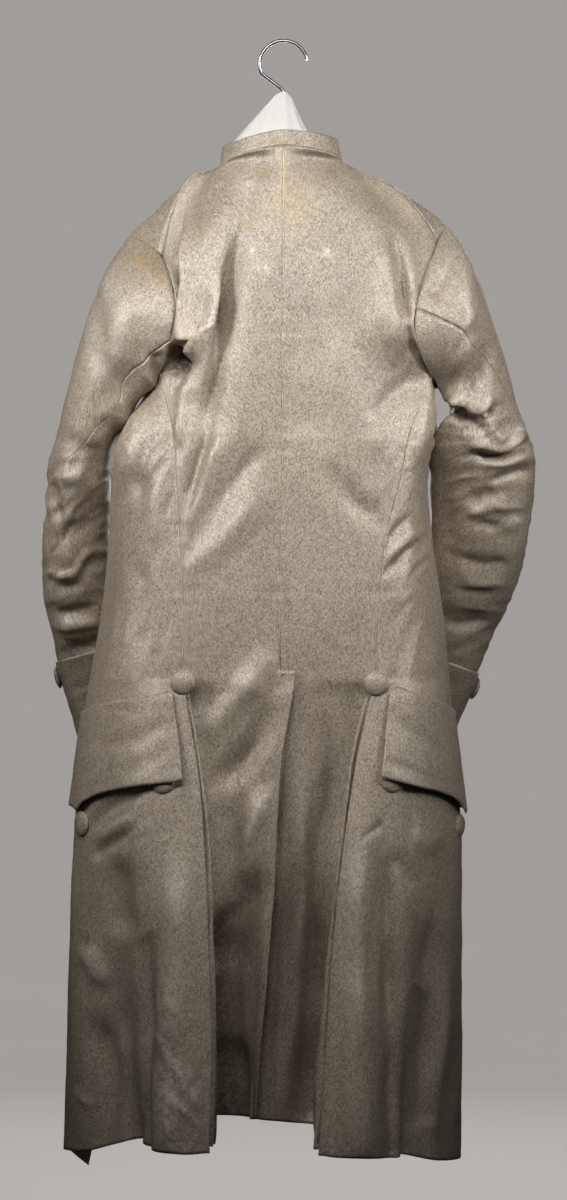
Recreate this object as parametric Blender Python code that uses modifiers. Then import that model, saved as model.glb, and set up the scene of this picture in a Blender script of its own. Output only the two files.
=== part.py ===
"""A man's silk coat of about 1785, hanging by the wire hook of its padded hanger.

The coat's back faces -Y and its front faces +Y. +X is the wearer's right and +Z is up.
The origin is the inner top of the hook, where a rail or peg carries the whole weight.
Tables and sizes are in millimetres. In a table of one side, x counts outward from the
middle of the coat, so that the left side is read with x reversed.
"""

import math

import bmesh
import bpy
import numpy as np
from mathutils import Vector

MM = 0.001

# Cloth and seams
WALL = 1.2
COLLAR_WALL = 2.4
NECK_INSET = 0.3
HIP_GAP = 0.45
SHOULDER_INSET = 1.25
SLEEVE_INSET = 0.75
SLEEVE_SET_OUT = (2.0, 0, -0.4)
# How far each panel stops short of the centre-back and the side-back seam, level by level:
# further where the two meet at a corner, so that their walls stay apart inside.
# Columns: level, inset
CENTRE_INSETS = ((-112, 0.6), (-185, 0.5), (-262, 0.3), (-1120, 0.3))
SIDE_INSETS = ((-350, 1.4), (-412, 0.8), (-457, 0.35), (-1120, 0.35))

# Pleats: the radius of a pressed fold, and the room between two folded layers
FOLD_RADIUS = 2.2
LAYER_STEP = 8.0
PLEAT_SEAM_GAP = 0.45
ROOT_DROP = 3.5

# Levels: a section is named by its height at the centre back, near enough
TOP_LEVEL = -112.0
NECK_CORNER = -178.0
BACK_ARMHOLE_FOOT = -350.0
FRONT_ARMHOLE_FOOT = -372.0
SIDE_SEAM_JOIN = -412.0
VENT_TOP = -645.0
HIP = -655.0
PLEAT_TOP = -668.0
HEM = -1120.0
Y_NAPE = -62.0
Z_NAPE = -115.0
Y_NECK_MIDDLE = 0.0

# Where the surfaces are sampled: levels down a piece and places across it
BACK_LEVELS = (-112, -125, -150, -185, -225, -262, -300, -325, -350, -381, -412, -457, -505, -545,
               -580, -615, -645, -655, -668, -700, -740, -790, -850, -920, -1000, -1060, -1120)
FRONT_LEVELS = (-92, -118, -150, -178, -220, -262, -300, -330, -350, -372, -392, -412, -457, -505, -545,
                -580, -615, -655, -668, -700, -740, -790, -850, -920, -1000, -1060, -1120)
BACK_PLACES = (0, 0.4, 0.8, 1.2, 1.6, 2, 2.38, 2.86, 3.32, 3.6, 3.86, 4)
FRONT_PLACES = (0, 0.5, 1, 1.5, 2, 2.5, 3, 3.5, 4, 4.5, 5, 5.5, 6, 6.5, 7, 7.5, 8)
GIRTH_STEPS = (0, 0.19, 0.43, 0.66, 0.73, 0.80, 0.865, 0.93, 1)
ROUNDNESS = 0.87
FOLD_TURNS = (-90, -135, 180, 135, 90)
LAYER_PLACES = (0.33, 0.67, 1)
LAP_PLACES = (0.5, 1)
SLEEVE_PLACES = (0, 0.5, 1, 1.5, 2, 2.5, 3, 3.5, 4, 4.5, 5, 5.5, 6, 7, 8, 9, 10, 11, 12)
SLEEVE_STEPS = {"upper": 9, "under": 7}
HIND_SEAM_START = {"right": 88, "left": 112}
CUFF_STEPS = 18
BUTTON_STEPS = 12
PAD_STEPS = 12
TENT_STEPS = 16
TENT_Y = 2.0
FLAP_SHARES = (0, 0.33, 0.67, 1)

SIDES = {"right": 1, "left": -1}

# Back sections, from the neck down to the hip. A row has three points: at the centre back,
# half way across, and at the armhole or the side-back seam.
BACK_COLUMNS = ("level", "x_cb", "y_cb", "z_cb", "x_mid", "y_mid", "z_mid", "x_end", "y_end", "z_end")
BACK_BODY = {
    "right": (
        (-125, 0, -66, -127, 67, -24, -134, 155, -36, -212),
        (-150, 0, -72, -152, 74, -50, -162, 147, -52, -234),
        (-225, 0, -84, -224, 72, -82, -236, 135, -74, -273),
        (-300, -1, -90, -302, 68, -90, -306, 132, -80, -310),
        (-350, -1, -91, -352, 72, -91, -352, 150, -48, -348),
        (-412, -1, -91, -412, 64, -94, -412, 126, -80, -412),
        (-457, -1, -91, -457, 59, -96, -457, 117, -87, -457),
        (-505, -2, -91, -502, 54, -97, -503, 104, -92, -506),
        (-580, -4, -92, -579, 46, -99, -580, 96, -97, -580),
        (-655, -4, -94, -655, 43, -98.5, -655, 92, -100, -655),
    ),
    "left": (
        (-125, 0, -66, -127, 70, -26, -138, 122, -46, -228),
        (-150, 0, -72, -152, 72, -54, -172, 115, -62, -246),
        (-225, 0, -84, -224, 66, -82, -240, 109, -78, -278),
        (-300, 1, -90, -302, 62, -90, -308, 114, -76, -314),
        (-350, 1, -91, -352, 64, -91, -350, 125, -50, -345),
        (-412, 1, -91, -412, 61, -94, -412, 110, -80, -412),
        (-457, 1, -91, -457, 58, -96, -457, 108, -87, -457),
        (-505, 2, -91, -502, 56, -97, -503, 105, -92, -506),
        (-580, 4, -92, -579, 53, -99, -580, 101, -97, -580),
        (-655, 4, -96, -655, 52, -98.5, -655, 101, -100, -655),
    ),
}
# Back skirts below the hip, from the vent to half way. The pleat's root is their last point.
SKIRT_COLUMNS = ("level", "x_cb", "y_cb", "x_mid", "y_mid")
BACK_SKIRT = {
    "right": (
        (-668, -8, -94.5, 42, -95.5),
        (-730, -12, -95, 38, -91.5),
        (-800, -17, -94, 34, -86),
        (-900, -23, -91.5, 30, -78),
        (-1000, -28, -88, 28, -72),
        (-1120, -34, -84.5, 26, -68),
    ),
    "left": (
        (-668, 3, -99, 45, -97),
        (-730, 7, -100, 46, -95),
        (-800, 12, -99.5, 47, -90),
        (-900, 19, -98, 50, -84),
        (-1000, 24, -96.5, 51, -78),
        (-1120, 31, -95, 52, -74),
    ),
}
HEM_BACK = {"right": (-1095, -1104, -1101), "left": (-1092, -1099, -1096)}
# The free edge of the left skirt's lap over the vent. Columns: level, x_edge
LAP = ((-645, -12), (-668, -9), (-730, 1), (-800, 6), (-900, 11), (-1000, 19), (-1120, 29))
LAP_LIFT = 1.6

# Pleats at the side of each skirt: the two fold edges' x, the outer edge's depth y, how deep
# the layers run and the angle at which they run forward from the edge.
PLEAT_COLUMNS = ("level", "x_outer", "y_outer", "x_inner", "reach", "angle")
PLEATS = {
    "right": (
        (-668, 87, -110, 82, 12, 0),
        (-730, 73, -118, 67.5, 26, 8),
        (-800, 62, -128, 58, 37, 15),
        (-900, 50, -138, 46, 47, 20),
        (-1000, 42, -146, 37, 54, 25),
        (-1120, 35, -155, 30, 58, 28),
    ),
    "left": (
        (-668, 97, -110, 93, 12, 0),
        (-730, 87, -118, 83.5, 24, 6),
        (-800, 79.5, -128, 74, 34, 10),
        (-900, 74, -139, 69, 42, 12),
        (-1000, 70.5, -147, 67.5, 45, 14),
        (-1120, 72, -153, 69, 46, 15),
    ),
}
# Where each of the pleat's folds ends at the hem
PLEAT_HEM = {
    "right": {"outer": -1119, "seam": -1112, "inner": -1114, "root": -1101},
    "left": {"outer": -1117, "seam": -1110, "inner": -1112, "root": -1096},
}

# Fronts: the shoulder down to the foot of the armhole. Each row runs from the neckline or the
# front edge to the armhole, and bows out by its own amount on the way.
SHOULDER_COLUMNS = ("level", "x_edge", "y_edge", "z_edge", "x_end", "y_end", "z_end", "bow", "lift")
FRONT_SHOULDER = {
    "right": (
        (-92, 62, -8, -123, 158, -25, -205, 0, 90),
        (-118, 61, 11, -127, 170, 8, -188, 0, 34),
        (-150, 50, 38, -149, 160, 40, -206, 8, 0),
        (-178, 13, 63, -178, 150, 56, -228, 17, 0),
        (-220, 12, 74, -220, 143, 68, -262, 16, 0),
        (-262, 12, 80, -262, 144, 66, -298, 16, 0),
        (-300, 12, 84, -300, 152, 46, -332, 20, 0),
        (-330, 12, 86, -330, 160, 10, -356, 36, 0),
        (-350, 12, 87, -350, 159, -24, -357, 52, 0),
        (-372, 12, 88, -372, 150, -48, -348, 66, 0),
    ),
    "left": (
        (-92, 65, -8, -128, 125, -36, -222, 0, 200),
        (-118, 64, 11, -132, 158, 8, -197, 0, 30),
        (-150, 52, 38, -152, 146, 40, -214, 8, 0),
        (-178, 13, 63, -178, 134, 56, -234, 17, 0),
        (-220, 12, 74, -220, 126, 68, -264, 16, 0),
        (-262, 12, 80, -262, 126, 66, -300, 16, 0),
        (-300, 12, 84, -300, 135, 46, -336, 20, 0),
        (-330, 12, 86, -330, 150, 8, -366, 36, 0),
        (-350, 12, 87, -350, 142, -24, -361, 52, 0),
        (-372, 12, 88, -372, 125, -50, -345, 66, 0),
    ),
}
# Fronts below the armhole, round the side to the side-back seam
SIDE_COLUMNS = ("level", "x_edge", "y_edge", "x_front", "y_front", "x_corner", "y_corner",
                "x_side", "y_side", "x_end", "y_end")
FRONT_SIDE = {
    "right": (
        (-412, 12, 88, 64, 93, 124, 64, 150, 8, 126, -80),
        (-457, 12, 88, 64, 92, 121, 64, 147, 6, 117, -87),
        (-505, 14, 87, 66, 91, 120, 66, 150.5, 5, 104, -92),
        (-580, 30, 88, 76, 93, 128, 68, 160.5, 2, 96, -97),
        (-655, 54, 93, 96, 97, 139, 71, 168.5, -3, 93.5, -104),
    ),
    "left": (
        (-412, 12, 88, 64, 93, 135, 62, 168, 4, 110, -80),
        (-457, 12, 88, 64, 92, 138, 62, 174.5, 4, 108, -87),
        (-505, 14, 87, 66, 91, 140, 64, 177, 3, 105, -92),
        (-580, 30, 88, 78, 93, 148, 66, 184.5, 0, 101, -97),
        (-655, 54, 93, 100, 97, 158, 69, 196, -4, 101.5, -104),
    ),
}
# Side skirts, from the cutaway front edge to the pleat: a flank, then a soft valley, then the
# lobe that stands over it, and its crest beside the pleat's outer edge
SIDE_SKIRT_COLUMNS = ("level", "x_edge", "y_edge", "x_front", "y_front", "x_corner", "y_corner",
                      "x_side", "y_side", "x_flank", "y_flank", "x_valley", "y_valley",
                      "x_lobe", "y_lobe", "x_crest", "y_crest")
SIDE_SKIRT = {
    "right": (
        (-668, 60, 95, 102, 98, 142, 71, 170, -4, 166, -48, 152, -81, 130, -101, 105, -111),
        (-730, 84, 101, 122, 101, 154, 72, 176, -8, 169, -54, 151, -88, 124, -111, 98, -120.5),
        (-800, 108, 105, 140, 102, 166, 70, 181, -10, 172, -58, 149, -95, 118, -120, 88, -129),
        (-900, 136, 104, 160, 97, 177, 62, 183, -12, 169, -62, 140, -100, 112, -128, 76, -139),
        (-1000, 156, 97, 172, 86, 182, 50, 183, -14, 162, -66, 130, -98, 112, -129, 66, -148),
        (-1120, 172, 84, 179, 68, 182, 36, 179, -20, 154, -70, 119, -93, 112, -126, 58, -158),
    ),
    "left": (
        (-668, 60, 95, 108, 98, 160, 69, 198, -5, 193, -44, 172, -78, 142, -100, 110, -111),
        (-730, 86, 101, 132, 101, 176, 70, 208, -7, 201, -46, 176, -80, 143, -108, 101, -120),
        (-800, 114, 105, 154, 102, 191, 68, 214, -9, 205, -48, 176, -82, 142, -115, 95, -130),
        (-900, 148, 104, 180, 96, 205, 60, 219, -10, 207, -48, 172, -80, 143, -120, 103, -140),
        (-1000, 176, 95, 198, 84, 215, 46, 222, -10, 206, -48, 162, -76, 141, -122, 101, -148),
        (-1120, 206, 75, 216, 58, 224, 30, 225, -8, 200, -46, 150, -76, 138, -124, 100, -154),
    ),
}
# Hem heights along the same points, from the front edge to the crest
HEM_SIDE = {
    "right": (-1152, -1151, -1149, -1146, -1139, -1129, -1127, -1121),
    "left": (-1170, -1158, -1145, -1139, -1134, -1117, -1117, -1118),
}

# Armholes, read once round from the shoulder tip: back, under the arm, front
ARMHOLE_TURNS = (0, 32, 55, 82, 112, 146, 165, 188, 212, 238, 262, 292, 325)

# Sleeves: the outer and inner edge of each section as seen from behind, the depth of its
# middle, half its thickness and where the hind seam lies, in degrees from the outer edge
SLEEVE_COLUMNS = ("x_out", "z_out", "x_in", "z_in", "y_middle", "half_depth", "seam")
SLEEVES = {
    "right": (
        (190, -222, 168, -368, -2, 66, 95),
        (209, -268, 172, -382, 0, 58, 85),
        (226, -318, 168, -398, 4, 53, 55),
        (243, -375, 161, -424, 12, 50, 28),
        (259, -416, 157, -446, 20, 48, 12),
        (261, -450, 155, -465, 28, 46, 9),
        (257, -489, 154, -490, 38, 45, 8),
        (251, -538, 152, -526, 54, 43, 9),
        (237, -580, 147, -558, 71, 41, 11),
        (224, -608, 141, -586, 86, 39, 14),
        (206, -652, 131, -624, 103, 37, 18),
        (193, -688, 120, -658, 120, 35, 20),
        (172, -735, 104, -704, 142, 35, 22),
    ),
    "left": (
        (178, -228, 158, -372, -2, 66, 128),
        (196, -268, 166, -384, 0, 60, 129),
        (211, -308, 172, -396, 4, 58, 128),
        (223, -355, 176, -410, 10, 58, 114),
        (234, -402, 178, -428, 18, 60, 96),
        (243, -432, 179, -446, 26, 61, 68),
        (247, -475, 180, -474, 36, 59, 69),
        (252, -525, 182, -510, 50, 55, 62),
        (251, -577, 180, -552, 66, 51, 50),
        (243, -612, 174, -588, 82, 48, 46),
        (240, -640, 167, -618, 100, 43, 56),
        (230, -680, 155, -656, 119, 39, 60),
        (218, -726, 140, -700, 140, 38, 60),
    ),
}
FOREARM_SEAM = 256.0
SLEEVE_RADIUS = 62.0
SLEEVE_RADIUS_LOSS = 1.9
# The cuff covers these places of the sleeve, counted in sleeve sections
CUFF_PLACES = (11, 11.5, 12, 12.5, 13)
CUFF_STAND_OFF = 2.6

# The largest folds as they lie on each piece: from one end to the other as seen from behind,
# with the height of a ridge or, below zero, the depth of a trough, and half its width.
# Columns: x_start, z_start, x_end, z_end, height, half_width
BACK_FOLDS = {
    "right": (
        (112, -196, 122, -300, -3.5, 9),
        (88, -225, 98, -330, 2.5, 14),
    ),
    "left": (
        (34, -160, 66, -325, -4.5, 11),
        (66, -232, 88, -385, 4, 12),
        (80, -318, 112, -300, 3.5, 10),
    ),
}
SLEEVE_FOLDS = {
    "right": (
        (176, -410, 262, -412, -5.5, 13),
        (190, -436, 268, -428, 3.5, 11),
        (196, -478, 262, -446, -5, 12),
        (160, -500, 232, -506, -3.5, 11),
    ),
    "left": (
        (176, -430, 232, -404, -4.5, 13),
        (180, -460, 240, -446, 3, 12),
        (184, -520, 250, -556, -4.5, 12),
        (176, -578, 252, -584, -4, 13),
    ),
}

# Stand collar: its height and inward lean at the centre back, the neck's side and the front.
# Columns: place, height, lean
COLLAR = {
    "right": ((0.0, 16, 4), (0.5, 21, 7), (1.0, 17, 4)),
    "left": ((0.0, 16, 4), (0.5, 18, 2.5), (1.0, 17, 4)),
}
COLLAR_SEAM_GAP = 1.1
NECK_STEPS = 5

# Pocket flaps, over the side skirt's points from 1.5, past the corner, to 7, the crest
FLAP_FRONT = 1.5
FLAP_REAR = 7.0
FLAP_TOP = {"right": (-700, -661), "left": (-700, -665)}
FLAP_DROP = 89.0
FLAP_POINT_DROP = 11.0
FLAP_POINT_AT = {"right": 3.5, "left": 4.0}
FLAP_POINT_WIDTH = 0.45
FLAP_POINT_STEP = 0.25
FLAP_CORNER_SHARE = 0.6
FLAP_STAND_OFF = (2.2, 6.6)
FLAP_WALL = 1.6

# Covered buttons
BUTTON_RADIUS = 12.4
BUTTON_DOME = 3.6
BUTTON_RIM = 2.0
BUTTON_BACK_SHARE = 0.78
BUTTON_GAP = 0.35
SEAT_REACH = 4.0
HIP_BUTTON = {
    "right": ((92, -110.6, -657), (0.05, -1, 0.12)),
    "left": ((100, -109.6, -656), (0.05, -1, 0.12)),
}
POCKET_BUTTONS = {
    "right": ((6.5, -752), (3.55, -797), (1.5, -812)),
    "left": ((6.5, -754), (4.05, -797), (1.6, -806)),
}
CUFF_BUTTON_TURNS = (352, 308, 264)
CUFF_BUTTON_PLACE = 11.4
FRONT_BUTTONS = 8
FIRST_BUTTON_LEVEL = -196
BUTTON_SPACING = 62
BUTTON_FROM_EDGE = 21.0

# Hanger
WIRE_RADIUS = 1.75
HOOK_RADIUS = 24.5
HOOK_END_TURN = 11
HOOK_LEG_TURN = 203
HOOK_LEG = ((-4, 0, -46.5), (0, 0, -51), (0, 0, -60), (0, 0, -110.3))
# Oval sections of the padding. Columns: x, z_top, half_depth, half_height
PAD = (
    (-132, -192.5, 8, 8), (-122, -178.5, 14, 15), (-104, -164.5, 17, 18), (-80, -145.5, 18, 20),
    (-60, -129.7, 19, 22), (-30, -116.2, 22, 22), (0, -110.7, 24, 22), (30, -116, 22, 22),
    (60, -127.5, 19, 22), (84, -138.5, 18, 20), (108, -151.5, 17, 18), (130, -165.5, 14, 15),
    (144, -177.5, 8, 8),
)
PAD_Y = 2.0
# Rings of the cloth under the hook. Columns: z, x_left, x_right, half_depth, and how far the
# ring drops at its front and back
TENT = (
    (-51.5, -3.6, 3.6, 3.6, 0), (-57, -11, 8, 5.5, 0), (-78, -30, 16.5, 10, 0),
    (-96, -46, 26, 17, 0), (-108, -55, 34, 22, 0), (-113, -56.5, 41, 25, 1),
    (-121.5, -54, 48, 26.8, 6),
)


def smooth(knots, values, places):
    """A smooth curve through the values at their knots, read at each place."""
    knots = np.asarray(knots, float)
    values = np.asarray(values, float)
    places = np.clip(np.asarray(places, float), knots.min(), knots.max())
    if knots[0] > knots[-1]:
        knots, values = knots[::-1], values[::-1]
    slopes = np.gradient(values, knots, axis=0)
    index = np.clip(np.searchsorted(knots, places, side="right") - 1, 0, len(knots) - 2)
    span = knots[index + 1] - knots[index]
    t = (places - knots[index]) / span
    shape = (-1,) + (1,) * (values.ndim - 1)
    t = t.reshape(shape)
    span = span.reshape(shape)
    start, end = values[index], values[index + 1]
    return (start * (1 + 2 * t) * (1 - t) ** 2 + slopes[index] * span * t * (1 - t) ** 2
            + end * t * t * (3 - 2 * t) - slopes[index + 1] * span * t * t * (1 - t))


def across(points, places):
    """Points along a section, read at places counted in steps of its own points."""
    return smooth(range(len(points)), points, places)


def at_levels(levels, rows, wanted):
    """Rows of points read at the wanted levels, with a smooth run between the rows."""
    return smooth([-level for level in levels], rows, [-level for level in wanted])


def out_from(side, points):
    """Points of one side's table placed in the coat's own frame."""
    return np.asarray(points, float) * (SIDES[side], 1, 1)


def seam_rise(t):
    """How a shoulder line stands over the straight run from neck to armhole, from 0 to 1."""
    return t ** 1.6 * (1 - t)


def shoulder_row(row, places):
    """A front's section above the underarm: a run from edge to armhole that bows outward."""
    size = dict(zip(SHOULDER_COLUMNS, row))
    edge = np.array([size["x_edge"], size["y_edge"], size["z_edge"]])
    end = np.array([size["x_end"], size["y_end"], size["z_end"]])
    run = end - edge
    outward = np.array([-run[1], run[0], 0]) / math.hypot(run[0], run[1])
    steps = np.interp(places, range(len(GIRTH_STEPS)), GIRTH_STEPS)
    return np.array([edge + run * t + outward * size["bow"] * 4 * t * (1 - t)
                     + np.array([0, 0, size["lift"] * seam_rise(t)]) for t in steps])


def side_row(row, places):
    """A front's section below the underarm, with a rounded turn from the side to the seam."""
    size = dict(zip(SIDE_COLUMNS, row))
    level = size["level"]
    points = [(size["x_edge"], size["y_edge"], level), (size["x_front"], size["y_front"], level),
              (size["x_corner"], size["y_corner"], level), (size["x_side"], size["y_side"], level)]
    for turn in (18, 36, 54, 72, 90):
        angle = math.radians(turn)
        x = size["x_end"] + (size["x_side"] - size["x_end"]) * math.cos(angle) ** ROUNDNESS
        y = size["y_side"] + (size["y_end"] - size["y_side"]) * math.sin(angle) ** ROUNDNESS
        points.append((x, y, level))
    return across(points, places)


def hem_height(level, z_hem):
    """Height of a skirt point at a level, on its way from the pleat's top to its own hem."""
    return PLEAT_TOP + (level - PLEAT_TOP) / (HEM - PLEAT_TOP) * (z_hem - PLEAT_TOP)


def fold_height(folds, x, z):
    """How far the folds of a piece raise it at a point, as seen from behind."""
    total = 0.0
    for x_start, z_start, x_end, z_end, height, half_width in folds:
        run = np.array([x_end - x_start, z_end - z_start])
        away = np.array([x - x_start, z - z_start])
        t = min(max(float(away @ run) / float(run @ run), 0), 1)
        distance = np.linalg.norm(away - run * t) / half_width
        total += height * math.exp(-distance ** 2) * (0.25 + 3 * t * (1 - t))
    return total


def side_seam(side, level, foot):
    """The side-back seam at a level of a panel whose own armhole foot is at another level."""
    ends = [row[7:10] for row in BACK_BODY[side] if row[0] <= BACK_ARMHOLE_FOOT]
    heights = [end[2] for end in ends]
    share = np.clip((foot - level) / (foot - SIDE_SEAM_JOIN), 0, 1)
    z = level if share == 1 else heights[0] + (SIDE_SEAM_JOIN - heights[0]) * share
    return at_levels(heights, ends, [max(z, HIP)])[0]


def on_side_seam(side, grid, levels, foot):
    """A panel's points with its last column laid on the side-back seam, down to the hip."""
    for row, level in zip(grid, levels):
        if HIP <= level <= foot:
            row[-1] = side_seam(side, level, foot)
    return grid


def pleat(side, level):
    """The folds of one side's pleat at a level: points in plan and the two directions."""
    table = PLEATS[side]
    levels = [row[0] for row in table]
    size = dict(zip(PLEAT_COLUMNS, at_levels(levels, table, [level])[0]))
    angle = math.radians(size["angle"])
    inward = np.array([math.cos(angle), math.sin(angle)])
    under = np.array([-math.sin(angle), math.cos(angle)])
    outer = np.array([size["x_outer"], size["y_outer"]])
    slide = (size["x_inner"] - size["x_outer"] + LAYER_STEP * math.sin(angle)) / math.cos(angle)
    inner = outer + inward * slide + under * LAYER_STEP
    seam = outer + inward * size["reach"] + under * FOLD_RADIUS
    root = outer + inward * (size["reach"] + 1) + under * (LAYER_STEP + FOLD_RADIUS + ROOT_DROP)
    return {"outer": outer, "inner": inner, "seam": seam, "root": root,
            "inward": inward, "under": under}


def with_height(side, level, fold, plan):
    """A pleat's plan point at its height."""
    return (plan[0], plan[1], hem_height(level, PLEAT_HEM[side][fold]))


def fold_turn(centre, inward, under, turns):
    """Plan points round a pressed fold, at turns in degrees from the inward direction."""
    return [centre + FOLD_RADIUS * (inward * math.cos(math.radians(turn))
                                    + under * math.sin(math.radians(turn))) for turn in turns]


def front_pleat_start(side, level):
    """Where a side skirt reaches its outer fold."""
    folds = pleat(side, level)
    centre = folds["outer"] + folds["inward"] * FOLD_RADIUS
    return with_height(side, level, "outer", centre - folds["under"] * FOLD_RADIUS)


def front_pleat(side, level):
    """The front's pleat layer, from the outer fold inward to the seam that joins the back."""
    folds = pleat(side, level)
    centre = folds["outer"] + folds["inward"] * FOLD_RADIUS
    turn = fold_turn(centre, folds["inward"], folds["under"], FOLD_TURNS[1:])
    points = [with_height(side, level, "outer", point) for point in turn]
    start, end = np.array(points[-1]), np.array(with_height(side, level, "seam", folds["seam"]))
    return points + [start + (end - start) * t for t in LAYER_PLACES]


def back_pleat(side, level):
    """The back's pleat layers, from the root out to the inner fold and back to the seam."""
    folds = pleat(side, level)
    centre = folds["inner"] + folds["inward"] * FOLD_RADIUS
    turn = fold_turn(centre, folds["inward"], folds["under"], FOLD_TURNS[::-1])
    points = [with_height(side, level, "inner", point) for point in turn]
    root = np.array(with_height(side, level, "root", folds["root"]))
    joined = folds["seam"] + folds["under"] * PLEAT_SEAM_GAP
    end = np.array(with_height(side, level, "seam", joined))
    first, last = np.array(points[0]), np.array(points[-1])
    return ([root + (first - root) * t for t in LAYER_PLACES[:-1]] + points
            + [last + (end - last) * t for t in LAYER_PLACES])


def side_skirt_row(side, row, places):
    """A side skirt's section, from its cutaway edge to the pleat's outer fold."""
    size = dict(zip(SIDE_SKIRT_COLUMNS, row))
    level = size["level"]
    names = ("edge", "front", "corner", "side", "flank", "valley", "lobe", "crest")
    points = [(size["x_" + name], size["y_" + name], hem_height(level, z_hem))
              for name, z_hem in zip(names, HEM_SIDE[side])]
    return across(points + [front_pleat_start(side, level)], places)


def front_rows(side, levels, places):
    """A front's points at the wanted levels and places, in its side's table frame."""
    body_tables = FRONT_SHOULDER[side] + FRONT_SIDE[side]
    body = [shoulder_row(row, places) for row in FRONT_SHOULDER[side]]
    body += [side_row(row, places) for row in FRONT_SIDE[side]]
    skirt = [side_skirt_row(side, row, places) for row in SIDE_SKIRT[side]]
    return two_spans(body_tables, body, SIDE_SKIRT[side], skirt, levels)


def two_spans(body_table, body, skirt_table, skirt, levels):
    """Rows of the body and of the skirt at the wanted levels, straight between the two."""
    levels = np.asarray(levels, float)
    upper = at_levels([row[0] for row in body_table], body, levels)
    lower = at_levels([row[0] for row in skirt_table], skirt, levels)
    share = np.clip((HIP - levels) / (HIP - PLEAT_TOP), 0, 1).reshape(-1, 1, 1)
    return upper * (1 - share) + lower * share


def neck_point(side, share):
    """The back's neck seam, from the centre back at 0 to the shoulder seam at 1."""
    x_neck, y_neck, z_neck = FRONT_SHOULDER[side][0][1:4]
    angle = share * math.pi / 2
    return (x_neck * math.sin(angle), y_neck + (Y_NAPE - y_neck) * math.cos(angle),
            Z_NAPE + (z_neck - Z_NAPE) * math.sin(angle) ** 1.3)


def back_top(side, places):
    """The back's top edge: half the neck seam, then the shoulder seam."""
    seam = FRONT_SHOULDER[side][0]
    size = dict(zip(SHOULDER_COLUMNS, seam))
    neck = np.array([size["x_edge"], size["y_edge"], size["z_edge"]])
    end = np.array([size["x_end"], size["y_end"], size["z_end"]])
    points = []
    for place in places:
        if place <= 2:
            points.append(neck_point(side, place / 2))
        else:
            t = (place - 2) / 2
            points.append(neck + (end - neck) * t + np.array([0, 0, size["lift"] * seam_rise(t)]))
    return np.array(points)


def half_section(points, places):
    """A back's section through its three points, crossing the centre back with no ridge."""
    centre, middle, end = np.array(points, float)
    mirrored = middle * (-1, 1, 1) + (2 * centre[0], 0, 0)
    shaped = across([mirrored, centre, middle, end], (1, 1.5, 2, 2.5, 3))
    return across(shaped, places)


def back_row(row, places):
    """A back's section above the hip."""
    size = dict(zip(BACK_COLUMNS, row))
    points = [[size[axis + "_" + name] for axis in "xyz"] for name in ("cb", "mid", "end")]
    return half_section(points, places)


def back_skirt_row(side, row, places):
    """A back skirt's section, from the vent to the pleat's root."""
    size = dict(zip(SKIRT_COLUMNS, row))
    level = size["level"]
    z_cb, z_mid, z_root = [hem_height(level, z_hem) for z_hem in HEM_BACK[side]]
    root = pleat(side, level)["root"]
    points = [(size["x_cb"], size["y_cb"], z_cb), (size["x_mid"], size["y_mid"], z_mid),
              (root[0], root[1], z_root)]
    return half_section(points, places)


def back_rows(side, levels, places):
    """A back's points at the wanted levels and places, in its side's table frame."""
    table = ((TOP_LEVEL,),) + BACK_BODY[side]
    body = [back_top(side, places)] + [back_row(row, places) for row in BACK_BODY[side]]
    skirt = [back_skirt_row(side, row, places) for row in BACK_SKIRT[side]]
    grid = two_spans(table, body, BACK_SKIRT[side], skirt, levels)
    for point in grid[:, 1:-1].reshape(-1, 3):
        point[1] -= fold_height(BACK_FOLDS[side], point[0], point[2])
    return grid


def lap_strip(level, start):
    """The left back's lap over the vent, from the strip's inner line to its free edge."""
    levels, edges = zip(*LAP)
    x_edge = float(at_levels(levels, edges, [level])[0])
    return [start + (np.array([x_edge, start[1] - LAP_LIFT, start[2]]) - start) * t
            for t in LAP_PLACES]


def drawn_back(edge, beside, insets):
    """An edge's points moved toward the points beside them by the inset of each."""
    step = beside - edge
    step /= np.linalg.norm(step, axis=1, keepdims=True)
    return edge + step * np.reshape(insets, (-1, 1))


def insets_at(table, levels):
    """The insets of a seam's table read at a panel's levels."""
    steps, insets = zip(*table)
    return np.interp([-level for level in levels], [-step for step in steps], insets)


def side_drawn_back(grid, levels):
    """A panel's grid with its last column drawn back from the side-back seam, above the hip."""
    insets = insets_at(SIDE_INSETS, levels) * [level >= HIP for level in levels]
    grid[:, -1] = drawn_back(grid[:, -1], grid[:, -2], insets)
    return grid


def material(name, color, roughness, metallic=0.0):
    """A plain material in the colour of its part."""
    made = bpy.data.materials.new(name)
    made.use_nodes = True
    shader = made.node_tree.nodes["Principled BSDF"]
    shader.inputs["Base Color"].default_value = (*color, 1)
    shader.inputs["Roughness"].default_value = roughness
    shader.inputs["Metallic"].default_value = metallic
    made.diffuse_color = (*color, 1)
    return made


def keep(name, mesh, look):
    """A named object for one piece, in the coat's collection."""
    made = bpy.data.objects.new(name, mesh)
    mesh.materials.append(look)
    collection.objects.link(made)
    return made


def sheet(name, rows, look, flip, wall=WALL):
    """A cloth piece from rows of points, None where a row has no cloth, given its wall."""
    mesh = bpy.data.meshes.new(name)
    build = bmesh.new()
    grid = [[None if point is None else build.verts.new(np.asarray(point) * MM) for point in row]
            for row in rows]
    for upper, lower in zip(grid, grid[1:]):
        for corners in zip(upper, upper[1:], lower[1:], lower):
            if None not in corners:
                build.faces.new(corners[::-1] if flip else corners)
    loose = [vertex for vertex in build.verts if not vertex.link_faces]
    bmesh.ops.delete(build, geom=loose, context="VERTS")
    build.to_mesh(mesh)
    build.free()
    mesh.shade_smooth()
    made = keep(name, mesh, look)
    shell = made.modifiers.new("wall", "SOLIDIFY")
    shell.thickness = wall * MM
    shell.offset = -1
    return made


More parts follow.
